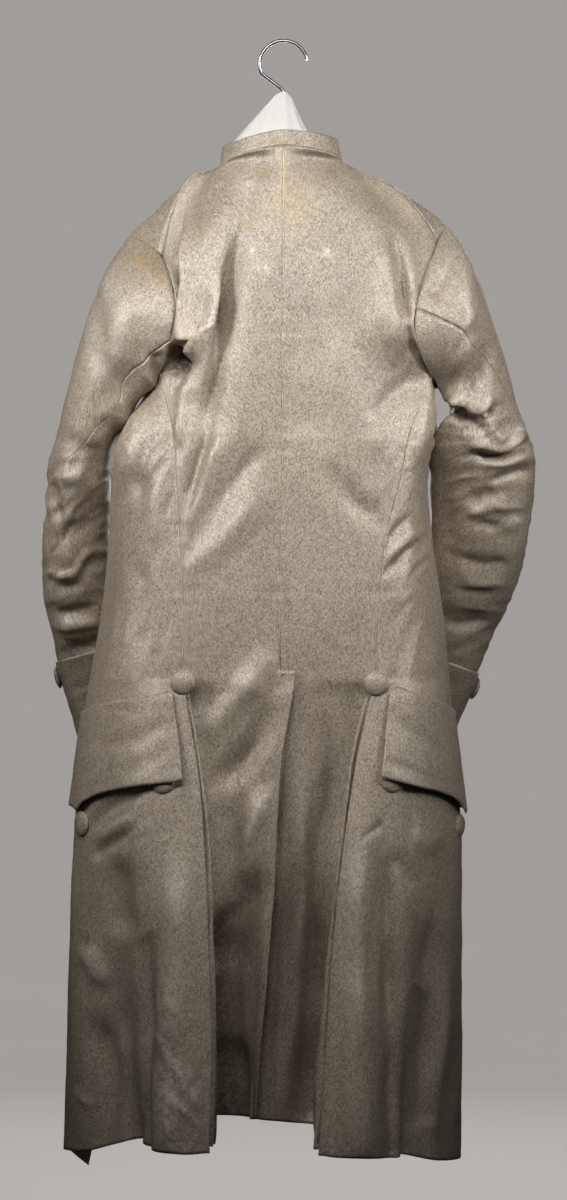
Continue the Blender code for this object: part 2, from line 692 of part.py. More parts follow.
def hip_parted(name, levels, rows, flip):
    """A panel's body and its skirt, two solids that meet at the hip."""
    hip = levels.index(HIP)
    sheet(name, rows[:hip + 1], cloth, flip)
    seam = [None if upper is None else upper + (lower - upper) * HIP_GAP / (HIP - PLEAT_TOP)
            for upper, lower in zip(rows[hip], rows[hip + 1])]
    sheet("skirt_" + name, [seam] + rows[hip + 1:], cloth, flip)


def back_panel(side):
    """One back: body, skirt, the lap or underlap at the vent, and its pleat layers."""
    grid = back_rows(side, BACK_LEVELS, BACK_PLACES)
    grid = on_side_seam(side, grid, BACK_LEVELS, BACK_ARMHOLE_FOOT)
    grid[:, 0] = drawn_back(grid[:, 0], grid[:, 1], insets_at(CENTRE_INSETS, BACK_LEVELS))
    top = [NECK_INSET if place < 2 else SHOULDER_INSET for place in BACK_PLACES]
    grid[0] = drawn_back(grid[0], grid[1], top)
    grid = side_drawn_back(grid, BACK_LEVELS)
    rows = []
    for level, row in zip(BACK_LEVELS, grid):
        points = list(row)
        if level <= PLEAT_TOP:
            points += back_pleat(side, level)
        else:
            points += [None] * (2 * len(LAYER_PLACES) - 1 + len(FOLD_TURNS))
        if side == "left":
            lap = lap_strip(level, row[0])[::-1] if level <= VENT_TOP else None
            points = (lap or [None] * len(LAP_PLACES)) + points
        rows.append([None if point is None else out_from(side, point) for point in points])
    hip_parted("back_" + side, BACK_LEVELS, rows, flip=side == "right")


def front_panel(side):
    """One front: from the neck round the armhole, the side and its skirt, to the pleat seam."""
    grid = front_rows(side, FRONT_LEVELS, FRONT_PLACES)
    grid = on_side_seam(side, grid, FRONT_LEVELS, FRONT_ARMHOLE_FOOT)
    grid[0] = drawn_back(grid[0], grid[1], SHOULDER_INSET)
    grid = side_drawn_back(grid, FRONT_LEVELS)
    rows = []
    for level, row in zip(FRONT_LEVELS, grid):
        points = list(row)
        if level <= PLEAT_TOP:
            points += front_pleat(side, level)
        else:
            points += [None] * (len(LAYER_PLACES) + len(FOLD_TURNS) - 1)
        rows.append([None if point is None else out_from(side, point) for point in points])
    hip_parted("front_" + side, FRONT_LEVELS, rows, flip=side == "left")


def armhole_point(side, turn):
    """A point of the armhole's edge at a turn about the arm, from the shoulder tip backward."""
    front = {row[0]: row[4:7] for row in FRONT_SHOULDER[side]}
    back = {row[0]: row[7:10] for row in BACK_BODY[side]}
    loop = [front[-118], front[-92], back[-150], back[-225], back[-300], front[-372],
            front[-350], front[-330], front[-300], front[-262], front[-220], front[-178],
            front[-150]]
    turns = list(ARMHOLE_TURNS)
    before = [value - 360 for value in turns[-3:]]
    after = [value + 360 for value in turns[:3]]
    return smooth(before + turns + after, loop[-3:] + loop + loop[:3], [turn % 360])[0]


def sleeve_ring(row, turn, stand_off):
    """A point of a sleeve section at a turn from its outer edge, by way of the back."""
    size = dict(zip(SLEEVE_COLUMNS, row))
    middle = np.array([(size["x_out"] + size["x_in"]) / 2, size["y_middle"],
                       (size["z_out"] + size["z_in"]) / 2])
    reach = np.array([size["x_out"] - size["x_in"], 0, size["z_out"] - size["z_in"]]) / 2
    reach *= 1 + stand_off / np.linalg.norm(reach)
    depth = np.array([0, -(size["half_depth"] + stand_off), 0])
    angle = math.radians(turn)
    return middle + reach * math.cos(angle) + depth * math.sin(angle)


def sleeve_point(side, place, turn, stand_off=0.0):
    """A point of the sleeve's outer face, at a place counted in sections from the armhole."""
    start = armhole_point(side, turn) + SLEEVE_SET_OUT
    points = [start] + [sleeve_ring(row, turn, stand_off) for row in SLEEVES[side]]
    point = across(points, [place])[0]
    facing_back = max(math.sin(math.radians(turn)), 0)
    point[1] -= fold_height(SLEEVE_FOLDS[side], point[0], point[2]) * facing_back
    return point


def hind_seam(side, place):
    """Where the hind-arm seam lies round the sleeve at a place along it."""
    turns = [HIND_SEAM_START[side]] + [row[6] for row in SLEEVES[side]]
    return float(across(turns, [place])[0])


def seam_shift(gap, place):
    """A seam's half gap as a turn about a sleeve, whose radius shrinks along the arm."""
    return math.degrees(gap / (SLEEVE_RADIUS - SLEEVE_RADIUS_LOSS * place))


def sleeve_half(side, half):
    """The upper or under sleeve, between the hind-arm seam and the forearm seam."""
    rows = []
    for place in SLEEVE_PLACES:
        hind, fore = hind_seam(side, place), FOREARM_SEAM
        start, end = (hind, fore) if half == "under" else (fore, hind + 360)
        gap = seam_shift(SLEEVE_INSET, place)
        turns = np.linspace(start + gap, end - gap, SLEEVE_STEPS[half] + 1)
        rows.append([out_from(side, sleeve_point(side, place, turn)) for turn in turns])
    return sheet("sleeve_%s_%s" % (side, half), rows, cloth, flip=side == "left")


def cuff(side):
    """A closed cuff round the sleeve's end, standing just off it."""
    rows = []
    for place in CUFF_PLACES:
        turns = np.arange(CUFF_STEPS + 1) * 360 / CUFF_STEPS
        rows.append([out_from(side, sleeve_point(side, place, turn, CUFF_STAND_OFF))
                     for turn in turns])
    made = sheet("cuff_" + side, rows, cloth, flip=side == "left")
    build = bmesh.new()
    build.from_mesh(made.data)
    bmesh.ops.remove_doubles(build, verts=build.verts, dist=1e-6)
    build.to_mesh(made.data)
    build.free()
    return made


def collar_line(side):
    """The neck seam of one side, from the centre back round to the front edge."""
    back = [neck_point(side, step / NECK_STEPS) for step in range(NECK_STEPS + 1)]
    levels = [level for level in FRONT_LEVELS if level >= NECK_CORNER]
    front = front_rows(side, levels, [0])[1:, 0]
    return [np.array(point, float) for point in back] + list(front)


def collar_piece():
    """The stand collar, from one front edge round the neck to the other."""
    base, top = [], []
    for side in ("left", "right"):
        line = collar_line(side)
        shares = list(np.linspace(0, 0.5, NECK_STEPS + 1))
        shares += list(np.linspace(0.5, 1, len(line) - NECK_STEPS))[1:]
        places, heights, leans = zip(*COLLAR[side])
        points = []
        for share, point in zip(shares, line):
            height = np.interp(share, places, heights)
            lean = np.interp(share, places, leans)
            inward = np.array([-point[0], Y_NECK_MIDDLE - point[1], 0])
            inward /= np.linalg.norm(inward)
            low = point + np.array([0, 0, COLLAR_SEAM_GAP])
            points.append((out_from(side, low),
                           out_from(side, low + inward * lean + np.array([0, 0, height]))))
        ordered = points[::-1] if side == "left" else points[1:]
        base += [pair[0] for pair in ordered]
        top += [pair[1] for pair in ordered]
    middle = [(low + high) / 2 for low, high in zip(base, top)]
    return sheet("collar", [top, middle, base], cloth, flip=True, wall=COLLAR_WALL)


def surface_frame(read, place, level):
    """A point of a front's outer face and its outward direction."""
    here = read(place, level)
    along = read(place + 0.02, level) - read(place - 0.02, level)
    down = read(place, level - 1) - read(place, level + 1)
    outward = np.cross(along, down)
    return here, outward / np.linalg.norm(outward)


def front_reader(side):
    """A function that reads a front's outer face at a place and level, in the table frame."""
    return lambda place, level: front_rows(side, [level], [place])[0, 0]


def flap_edges(side, place):
    """Levels of a flap's top and bottom edges at a place round the skirt."""
    front, rear = FLAP_TOP[side]
    share = (place - FLAP_FRONT) / (FLAP_REAR - FLAP_FRONT)
    top = front + (rear - front) * share
    point = FLAP_POINT_DROP * math.exp(-abs(place - FLAP_POINT_AT[side]) / FLAP_POINT_WIDTH)
    corner = (FLAP_CORNER_SHARE * FLAP_POINT_DROP
              * math.exp(-(place - FLAP_FRONT) / FLAP_POINT_WIDTH))
    return top, top - FLAP_DROP - point - corner


def flap(side):
    """A scalloped pocket flap, made from the skirt's own points moved outward."""
    read = front_reader(side)
    tip = FLAP_POINT_AT[side]
    places = sorted({place for place in FRONT_PLACES if FLAP_FRONT <= place <= FLAP_REAR}
                    | {tip - FLAP_POINT_STEP, tip, tip + FLAP_POINT_STEP})
    rows = []
    for share in FLAP_SHARES:
        row = []
        for place in places:
            top, bottom = flap_edges(side, place)
            point, outward = surface_frame(read, place, top + (bottom - top) * share)
            near, far = FLAP_STAND_OFF
            off = FLAP_WALL + near + (far - near) * share ** 1.5
            row.append(out_from(side, point + outward * off))
        rows.append(row)
    return sheet("flap_" + side, rows, cloth, flip=side == "left", wall=FLAP_WALL)


def button_mesh():
    """A flat-backed domed button, turned from its profile, standing along +Z."""
    mesh = bpy.data.meshes.new("button")
    profile = ((0, BUTTON_RIM + BUTTON_DOME), (0.5, BUTTON_RIM + BUTTON_DOME * 0.8),
               (0.86, BUTTON_RIM + BUTTON_DOME * 0.36), (1, BUTTON_RIM * 0.8),
               (BUTTON_BACK_SHARE, 0), (0, 0))
    points = [(share * BUTTON_RADIUS * MM, 0, height * MM) for share, height in profile]
    edges = [(index, index + 1) for index in range(len(points) - 1)]
    mesh.from_pydata(points, edges, [])
    return mesh


def button(name, point, outward):
    """One covered button with its back just off the cloth at a point."""
    made = keep(name, button_mesh(), button_cloth)
    turn = made.modifiers.new("turned", "SCREW")
    turn.steps = BUTTON_STEPS
    turn.render_steps = BUTTON_STEPS
    turn.merge_threshold = 1e-5
    turn.use_merge_vertices = True
    direction = Vector(outward).normalized()
    made.location = Vector(point) * MM + direction * BUTTON_GAP * MM
    made.rotation_mode = "QUATERNION"
    made.rotation_quaternion = direction.to_track_quat("Z", "Y")
    return made


def seated_button(name, under, outside):
    """A button laid flat on the facet of a cloth piece that lies nearest to a point."""
    graph = bpy.context.evaluated_depsgraph_get()
    _, seat, outward, _ = under.closest_point_on_mesh(Vector(outside) * MM, depsgraph=graph)
    return button(name, seat / MM, outward)


def buttons():
    """All the coat's buttons, each seated on the face of the cloth under it."""
    for side in SIDES:
        skirt = bpy.data.objects["skirt_front_" + side]
        read = front_reader(side)
        place, outward = HIP_BUTTON[side]
        button("button_hip_" + side, out_from(side, place), out_from(side, outward))
        for number, (place, level) in enumerate(POCKET_BUTTONS[side], 1):
            point, outward = surface_frame(read, place, level)
            seated_button("button_pocket_%s_%d" % (side, number), skirt,
                          out_from(side, point + outward * SEAT_REACH))
        for number, turn in enumerate(CUFF_BUTTON_TURNS, 1):
            point = sleeve_point(side, CUFF_BUTTON_PLACE, turn, CUFF_STAND_OFF + SEAT_REACH)
            seated_button("button_cuff_%s_%d" % (side, number),
                          bpy.data.objects["cuff_" + side], out_from(side, point))
    read = front_reader("right")
    for number in range(FRONT_BUTTONS):
        level = FIRST_BUTTON_LEVEL - number * BUTTON_SPACING
        place = BUTTON_FROM_EDGE / np.linalg.norm(read(1, level) - read(0, level))
        point, outward = surface_frame(read, place, level)
        seated_button("button_front_%d" % (number + 1), bpy.data.objects["front_right"],
                      out_from("right", point + outward * SEAT_REACH))


def hanger_hook():
    """The wire hook: most of a ring, then a leg down into the padding."""
    curve = bpy.data.curves.new("hanger_hook", "CURVE")
    curve.dimensions = "3D"
    curve.bevel_depth = WIRE_RADIUS * MM
    curve.bevel_resolution = 2
    curve.use_fill_caps = True
    middle = WIRE_RADIUS - HOOK_RADIUS
    turns = np.linspace(HOOK_END_TURN, HOOK_LEG_TURN, 13)
    points = [(HOOK_RADIUS * math.cos(math.radians(turn)), 0,
               middle + HOOK_RADIUS * math.sin(math.radians(turn))) for turn in turns]
    points += HOOK_LEG
    line = curve.splines.new("POLY")
    line.points.add(len(points) - 1)
    for spot, point in zip(line.points, points):
        spot.co = (*(value * MM for value in point), 1)
    made = bpy.data.objects.new("hanger_hook", curve)
    curve.materials.append(wire)
    collection.objects.link(made)
    return made


def hanger_pad():
    """The hanger's padded arms: one closed form of oval sections under the shoulders."""
    mesh = bpy.data.meshes.new("hanger_pad")
    build = bmesh.new()
    rings = []
    for x, z_top, half_depth, half_height in PAD:
        ring = []
        for number in range(PAD_STEPS):
            angle = 2 * math.pi * number / PAD_STEPS
            y = PAD_Y + half_depth * math.cos(angle)
            z = z_top - half_height + half_height * math.sin(angle)
            ring.append(build.verts.new(Vector((x, y, z)) * MM))
        rings.append(ring)
    for near, far in zip(rings, rings[1:]):
        for number in range(PAD_STEPS):
            after = (number + 1) % PAD_STEPS
            build.faces.new((near[number], near[after], far[after], far[number]))
    build.faces.new(rings[0][::-1])
    build.faces.new(rings[-1])
    bmesh.ops.recalc_face_normals(build, faces=build.faces)
    build.to_mesh(mesh)
    build.free()
    mesh.shade_smooth()
    return keep("hanger_pad", mesh, white_cloth)


def hanger_cloth():
    """The white cloth tied in under the hook, spreading over the padding like a tent."""
    rows = []
    for z, x_left, x_right, half_depth, drop in TENT:
        middle, half_width = (x_left + x_right) / 2, (x_right - x_left) / 2
        y_middle = TENT_Y * (z - TENT[0][0]) / (TENT[-1][0] - TENT[0][0])
        row = []
        for number in range(TENT_STEPS + 1):
            angle = 2 * math.pi * (number % TENT_STEPS) / TENT_STEPS
            row.append((middle + half_width * math.cos(angle),
                        y_middle + half_depth * math.sin(angle),
                        z - drop * math.sin(angle) ** 2))
        rows.append(row)
    made = sheet("hanger_cloth", rows, white_cloth, flip=True)
    build = bmesh.new()
    build.from_mesh(made.data)
    bmesh.ops.remove_doubles(build, verts=build.verts, dist=1e-6)
    build.to_mesh(made.data)
    build.free()
    return made


for old in list(bpy.data.objects):
    bpy.data.objects.remove(old, do_unlink=True)
collection = bpy.data.collections.new("silk_coat")
bpy.context.scene.collection.children.link(collection)

cloth = material("silk", (0.30, 0.265, 0.215), 0.42)
button_cloth = material("button silk", (0.32, 0.285, 0.235), 0.45)
white_cloth = material("white cotton", (0.86, 0.84, 0.82), 0.9)
wire = material("bright wire", (0.75, 0.75, 0.76), 0.22, 1.0)

for side in SIDES:
    back_panel(side)
    front_panel(side)
    sleeve_half(side, "upper")
    sleeve_half(side, "under")
    cuff(side)
    flap(side)
collar_piece()
buttons()
hanger_hook()
hanger_pad()
hanger_cloth()
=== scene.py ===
"""The looks of a man's silk coat of about 1785, hanging by its padded hanger's wire hook.

The coat's back faces -Y, +X is the wearer's right and +Z is up. Tables and sizes are in
millimetres. In a table of one side, x counts outward from the middle of the coat. Creases
and marks are placed as seen from behind or from the front, with x in the coat's own frame.
"""

import math

import bmesh
import bpy
import numpy as np
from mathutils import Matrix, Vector, noise


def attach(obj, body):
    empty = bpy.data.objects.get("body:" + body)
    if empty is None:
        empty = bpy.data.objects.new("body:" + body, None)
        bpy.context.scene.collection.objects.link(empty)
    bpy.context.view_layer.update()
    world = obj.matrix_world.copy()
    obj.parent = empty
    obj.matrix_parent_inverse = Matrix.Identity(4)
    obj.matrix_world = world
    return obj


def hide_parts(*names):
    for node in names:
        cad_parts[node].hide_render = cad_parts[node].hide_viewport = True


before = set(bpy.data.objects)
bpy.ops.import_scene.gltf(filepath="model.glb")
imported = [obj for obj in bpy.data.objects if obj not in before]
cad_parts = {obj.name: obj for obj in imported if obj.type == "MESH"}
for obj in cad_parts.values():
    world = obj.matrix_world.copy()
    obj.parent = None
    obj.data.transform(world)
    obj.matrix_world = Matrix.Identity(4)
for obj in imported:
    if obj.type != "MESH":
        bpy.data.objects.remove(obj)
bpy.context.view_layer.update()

MM = 0.001
SIDES = {"right": 1, "left": -1}

# The camera stands where one pixel of the 567 by 1200 picture is 1.03 mm at the hook
PICTURE_HEIGHT = 1200
PIXEL_AT_HOOK = 1.03
CAMERA_DISTANCE = 3200.0
CAMERA_HEIGHT = -574.4
SENSOR = 36.0

# Cloth
WALL = 0.8
COLLAR_WALL = 2.0
FLAP_WALL = 1.2
MESH_STEP = 3.4

# How many points each piece has along a row, or rows from its top to its end
BACK_ROW_POINTS = 47
LAP_POINTS = 15
FRONT_ROW_POINTS = 97
SLEEVE_ROWS = 216
UNDER_SLEEVE_POINTS = 53
UPPER_SLEEVE_POINTS = 69
CUFF_ROWS = 32
CUFF_POINTS = 97
COLLAR_ROWS = 12
COLLAR_BACK_POINTS = 24
COLLAR_FRONT_POINTS = 36
FLAP_ROWS = 32
FLAP_POINTS = 67
FLAP_LEVELS = 60

# Pleats: the radius of a pressed fold, the room between two folded layers, and how much
# deeper the pleat's root lies
FOLD_RADIUS = 2.2
LAYER_STEP = 8.0
ROOT_DROP = 3.5
# How far the inner pleat's two layers sag behind its fold, where that ends below, and the run
# over which it begins and ends
LAYER_SAG = 7.0
ROOT_SAG = 4.0
LAYER_SAG_END = -876.0
LAYER_SAG_RUN = 90.0

# Levels: a section is named by its height at the centre back, near enough
TOP_LEVEL = -112.0
SHOULDER_LEVEL = -92.0
NECK_CORNER = -178.0
BACK_ARMHOLE_FOOT = -350.0
FRONT_ARMHOLE_FOOT = -372.0
SIDE_SEAM_JOIN = -412.0
VENT_TOP = -645.0
HIP = -655.0
PLEAT_TOP = -668.0
HEM = -1120.0
Y_NAPE = -62.0
Z_NAPE = -115.0
Y_NECK_MIDDLE = 0.0
GIRTH_STEPS = (0, 0.19, 0.43, 0.66, 0.73, 0.80, 0.865, 0.93, 1)
ROUNDNESS = 0.87
CORNER_TURNS = (18, 36, 54, 72, 90)
# How steeply the shoulder seam and the back's neck seam rise, and how near the side-back seam
# a panel's points are drawn onto it
SHOULDER_RISE_POWER = 1.6
NECK_RISE_POWER = 1.3
SEAM_PULL_POWER = 24

# Back sections, from the neck down to the hip. A row has three points: at the centre back,
# half way across, and at the armhole or the side-back seam.
BACK_COLUMNS = ("level", "x_cb", "y_cb", "z_cb", "x_mid", "y_mid", "z_mid",
                "x_end", "y_end", "z_end")
BACK_BODY = {
    "right": (
        (-125, 0, -66, -127, 67, -24, -134, 155, -36, -212),
        (-150, 0, -72, -152, 74, -50, -162, 147, -52, -234),
        (-225, 0, -84, -224, 72, -82, -236, 135, -74, -273),
        (-300, -1, -90, -302, 68, -90, -306, 132, -80, -310),
        (-350, -1, -91, -352, 72, -91, -352, 150, -48, -348),
        (-412, -1, -91, -412, 64, -94, -412, 126, -80, -412),
        (-457, -1, -91, -457, 59, -96, -457, 117, -87, -457),
        (-505, -2, -91, -502, 54, -97, -503, 104, -92, -506),
        (-580, -4, -92, -579, 46, -99, -580, 96, -97, -580),
        (-655, -4, -94, -655, 43, -98.5, -655, 92, -100, -655),
    ),
    "left": (
        (-125, 0, -66, -127, 70, -26, -138, 122, -46, -228),
        (-150, 0, -72, -152, 72, -54, -172, 115, -62, -246),
        (-225, 0, -84, -224, 66, -82, -240, 109, -78, -278),
        (-300, 1, -90, -302, 62, -90, -308, 114, -76, -314),
        (-350, 1, -91, -352, 64, -91, -350, 125, -50, -345),
        (-412, 1, -91, -412, 61, -94, -412, 110, -80, -412),
        (-457, 1, -91, -457, 58, -96, -457, 108, -87, -457),
        (-505, 2, -91, -502, 56, -97, -503, 105, -92, -506),
        (-580, 4, -92, -579, 53, -99, -580, 101, -97, -580),
        (-655, 4, -96, -655, 52, -98.5, -655, 101, -100, -655),
    ),
}
# Back skirts below the hip, from the vent to half way. The pleat's root is their last point.
SKIRT_COLUMNS = ("level", "x_cb", "y_cb", "x_mid", "y_mid")
BACK_SKIRT = {
    "right": (
        (-668, -8, -94.5, 42, -95.5),
        (-730, -12, -95, 38, -91.5),
        (-800, -17, -94, 34, -86),
        (-900, -23, -91.5, 30, -78),
        (-1000, -28, -88, 28, -72),
        (-1120, -34, -84.5, 26, -68),
    ),
    "left": (
        (-668, 3, -99, 45, -97),
        (-730, 7, -100, 46, -95),
        (-800, 12, -99.5, 47, -90),
        (-900, 19, -98, 50, -84),
        (-1000, 24, -96.5, 51, -78),
        (-1120, 31, -95, 52, -74),
    ),
}
HEM_BACK = {"right": (-1095, -1104, -1101), "left": (-1092, -1099, -1096)}
# The free edge of the left skirt's lap over the vent. Columns: level, x_edge
LAP = ((-645, -12), (-668, -9), (-730, 1), (-800, 6), (-900, 11), (-1000, 19), (-1120, 29))
LAP_LIFT = 3.6
# Stitches at the vent: how far in from the free edge, then their step, length and width
VENT_STITCH_PLACE = 0.8
VENT_STITCH = (8.0, 2.2, 1.0)
VENT_BAR_STITCH = (1.2, 1.4, 1.0)
# How far a stitch strays along its row in steps, how soon that comes round again, and how high
# it stands in widths
STITCH_STRAY = 0.18
STITCH_STRAY_TURN = 2.3
STITCH_HEIGHT = 0.6

# Pleats at the side of each skirt: the two fold edges' x, the outer edge's depth y, how deep
# the layers run and the angle at which they run forward from the edge.
PLEAT_COLUMNS = ("level", "x_outer", "y_outer", "x_inner", "reach", "angle")
PLEATS = {
    "right": (
        (-668, 87, -110, 82, 12, 0),
        (-730, 73, -118, 67.5, 26, 8),
        (-800, 62, -128, 58, 37, 15),
        (-900, 50, -138, 46, 47, 20),
        (-1000, 42, -146, 37, 54, 25),
        (-1120, 35, -155, 30, 58, 28),
    ),
    "left": (
        (-668, 97, -110, 93, 12, 0),
        (-730, 87, -118, 83.5, 24, 6),
        (-800, 79.5, -128, 74, 34, 10),
        (-900, 74, -139, 69, 42, 12),
        (-1000, 70.5, -147, 67.5, 45, 14),
        (-1120, 72, -153, 69, 46, 15),
    ),
}
# Where each of the pleat's folds ends at the hem
PLEAT_HEM = {
    "right": {"outer": -1119, "seam": -1112, "inner": -1114, "root": -1101},
    "left": {"outer": -1117, "seam": -1110, "inner": -1112, "root": -1096},
}

# Fronts: the shoulder down to the foot of the armhole. Each row runs from the neckline or the
# front edge to the armhole, and bows out by its own amount on the way.
SHOULDER_COLUMNS = ("level", "x_edge", "y_edge", "z_edge", "x_end", "y_end", "z_end", "bow", "lift")
FRONT_SHOULDER = {
    "right": (
        (-92, 62, -8, -123, 158, -25, -205, 0, 90),
        (-118, 61, 11, -127, 170, 8, -188, 0, 34),
        (-150, 50, 38, -149, 160, 40, -206, 8, 0),
        (-178, 13, 63, -178, 150, 56, -228, 17, 0),
        (-220, 12, 74, -220, 143, 68, -262, 16, 0),
        (-262, 12, 80, -262, 144, 66, -298, 16, 0),
        (-300, 12, 84, -300, 152, 46, -332, 20, 0),
        (-330, 12, 86, -330, 160, 10, -356, 36, 0),
        (-350, 12, 87, -350, 159, -24, -357, 52, 0),
        (-372, 12, 88, -372, 150, -48, -348, 73, 0),
    ),
    "left": (
        (-92, 65, -8, -128, 125, -36, -222, 0, 200),
        (-118, 64, 11, -132, 158, 8, -197, 0, 30),
        (-150, 52, 38, -152, 146, 40, -214, 8, 0),
        (-178, 13, 63, -178, 134, 56, -234, 17, 0),
        (-220, 12, 74, -220, 126, 68, -264, 16, 0),
        (-262, 12, 80, -262, 126, 66, -300, 16, 0),
        (-300, 12, 84, -300, 135, 46, -336, 20, 0),
        (-330, 12, 86, -330, 150, 8, -366, 36, 0),
        (-350, 12, 87, -350, 142, -24, -361, 52, 0),
        (-372, 12, 88, -372, 125, -50, -345, 66, 0),
    ),
}
# Fronts below the armhole, round the side to the side-back seam
SIDE_COLUMNS = ("level", "x_edge", "y_edge", "x_front", "y_front", "x_corner", "y_corner",
                "x_side", "y_side", "x_end", "y_end")
FRONT_SIDE = {
    "right": (
        (-412, 12, 88, 64, 93, 124, 64, 150, 8, 126, -80),
        (-457, 12, 88, 64, 92, 121, 64, 147, 6, 117, -87),
        (-505, 14, 87, 66, 91, 120, 66, 150.5, 5, 104, -92),
        (-580, 30, 88, 76, 93, 128, 68, 160.5, 2, 96, -97),
        (-655, 54, 93, 96, 97, 139, 71, 168.5, -3, 93.5, -104),
    ),
    "left": (
        (-412, 12, 88, 64, 93, 135, 62, 168, 4, 110, -80),
        (-457, 12, 88, 64, 92, 138, 62, 174.5, 4, 108, -87),
        (-505, 14, 87, 66, 91, 140, 64, 177, 3, 105, -92),
        (-580, 30, 88, 78, 93, 148, 66, 184.5, 0, 101, -97),
        (-655, 54, 93, 100, 97, 158, 69, 196, -4, 101.5, -104),
    ),
}
# Side skirts, from the cutaway front edge to the pleat: a flank, then a soft valley, then the
# lobe that stands over it, and its crest beside the pleat's outer edge
SIDE_SKIRT_COLUMNS = ("level", "x_edge", "y_edge", "x_front", "y_front", "x_corner", "y_corner",
                      "x_side", "y_side", "x_flank", "y_flank", "x_valley", "y_valley",
                      "x_lobe", "y_lobe", "x_crest", "y_crest")
SIDE_SKIRT = {
    "right": (
        (-668, 60, 95, 102, 98, 142, 71, 170, -4, 166, -48, 152, -81, 130, -101, 105, -111),
        (-730, 84, 101, 122, 101, 154, 72, 176, -8, 169, -54, 151, -88, 124, -111, 98, -120.5),
        (-800, 108, 105, 140, 102, 166, 70, 181, -10, 172, -58, 149, -95, 118, -120, 88, -129),
        (-900, 136, 104, 160, 97, 177, 62, 183, -12, 169, -62, 140, -100, 112, -128, 76, -139),
        (-1000, 156, 97, 172, 86, 182, 50, 183, -14, 162, -66, 130, -98, 112, -129, 66, -148),
        (-1120, 172, 84, 179, 68, 182, 36, 179, -20, 154, -70, 119, -93, 112, -126, 58, -158),
    ),
    "left": (
        (-668, 60, 95, 108, 98, 160, 69, 198, -5, 193, -44, 172, -78, 142, -100, 110, -111),
        (-730, 86, 101, 132, 101, 176, 70, 208, -7, 201, -46, 176, -80, 143, -108, 101, -120),
        (-800, 114, 105, 154, 102, 191, 68, 214, -9, 205, -48, 176, -82, 142, -115, 95, -130),
        (-900, 148, 104, 180, 96, 205, 60, 219, -10, 207, -48, 172, -80, 143, -120, 103, -140),
        (-1000, 176, 95, 198, 84, 215, 46, 222, -10, 206, -48, 162, -76, 141, -122, 101, -148),
        (-1120, 206, 75, 216, 58, 224, 30, 225, -8, 200, -46, 150, -76, 138, -124, 100, -154),
    ),
}
# Hem heights along the same points, from the front edge to the crest
HEM_SIDE = {
    "right": (-1152, -1151, -1149, -1146, -1139, -1129, -1127, -1121),
    "left": (-1170, -1158, -1145, -1139, -1134, -1117, -1117, -1118),
}

# Armholes, read once round from the shoulder tip: back, under the arm, front
ARMHOLE_TURNS = (0, 32, 55, 82, 112, 146, 165, 188, 212, 238, 262, 292, 325)

# Sleeves: the outer and inner edge of each section as seen from behind, the depth of its
# middle, half its thickness and where the hind seam lies, in degrees from the outer edge
SLEEVE_COLUMNS = ("x_out", "z_out", "x_in", "z_in", "y_middle", "half_depth", "seam")
SLEEVES = {
    "right": (
        (190, -222, 168, -368, -2, 66, 95),
        (209, -268, 172, -382, 0, 58, 85),
        (226, -318, 166, -398, 4, 53, 55),
        (243, -375, 157, -424, 12, 50, 28),
        (259, -416, 154, -446, 20, 48, 12),
        (261, -450, 153, -465, 28, 46, 9),
        (257, -489, 154, -490, 38, 45, 8),
        (251, -538, 152, -526, 54, 43, 9),
        (237, -580, 147, -558, 71, 41, 11),
        (224, -608, 141, -586, 86, 39, 14),
        (206, -652, 131, -624, 103, 37, 18),
        (193, -688, 120, -658, 120, 35, 20),
        (172, -735, 104, -704, 142, 35, 22),
    ),
    "left": (
        (178, -228, 155, -377, -2, 66, 128),
        (196, -268, 163, -394, 0, 60, 129),
        (211, -308, 171, -406, 4, 58, 128),
        (223, -355, 176, -417, 10, 58, 114),
        (234, -402, 178, -431, 18, 60, 96),
        (243, -432, 179, -446, 26, 61, 68),
        (247, -475, 180, -474, 36, 59, 69),
        (252, -525, 182, -510, 50, 55, 62),
        (251, -577, 180, -552, 66, 51, 50),
        (243, -612, 174, -588, 82, 48, 46),
        (240, -640, 167, -618, 100, 43, 56),
        (230, -680, 155, -656, 119, 39, 60),
        (218, -726, 140, -700, 140, 38, 60),
    ),
}
SLEEVE_SET_OUT = (0.4, 0, -0.1)
HIND_SEAM_START = {"right": 88, "left": 112}
FOREARM_SEAM = 256.0
# The cuff covers the sleeve from this section to its end, and stands off it
CUFF_START = 11
SLEEVE_END = 13
CUFF_STAND_OFF = 2.6

# Stand collar: its height and inward lean at the centre back, the neck's side and the front.
# Columns: place, height, lean
COLLAR = {
    "right": ((0.0, 16, 4), (0.5, 21, 7), (1.0, 17, 4)),
    "left": ((0.0, 16, 4), (0.5, 18, 2.5), (1.0, 17, 4)),
}
COLLAR_SEAM_GAP = 0.5

# Pocket flaps, over the side skirt's points from 1.5, past the corner, to 7, the crest
FLAP_FRONT = 1.5
FLAP_REAR = 7.0
FLAP_TOP = {"right": (-700, -661), "left": (-700, -665)}
FLAP_DROP = 89.0
FLAP_POINT_DROP = 11.0
FLAP_POINT_AT = {"right": 3.5, "left": 4.0}
FLAP_POINT_WIDTH = 0.45
FLAP_CORNER_SHARE = 0.6
FLAP_STAND_OFF = (2.2, 6.6)
FLAP_LIFT_CURVE = 1.5
FLAP_ROOM_ABOVE = 2
FLAP_ROOM_BELOW = 20

# Covered buttons
BUTTON_RADIUS = 12.4
BUTTON_DOME = 3.8
BUTTON_RIM = 2.0
BUTTON_ROOT = 1.4
BUTTON_BACK_SHARE = 0.78
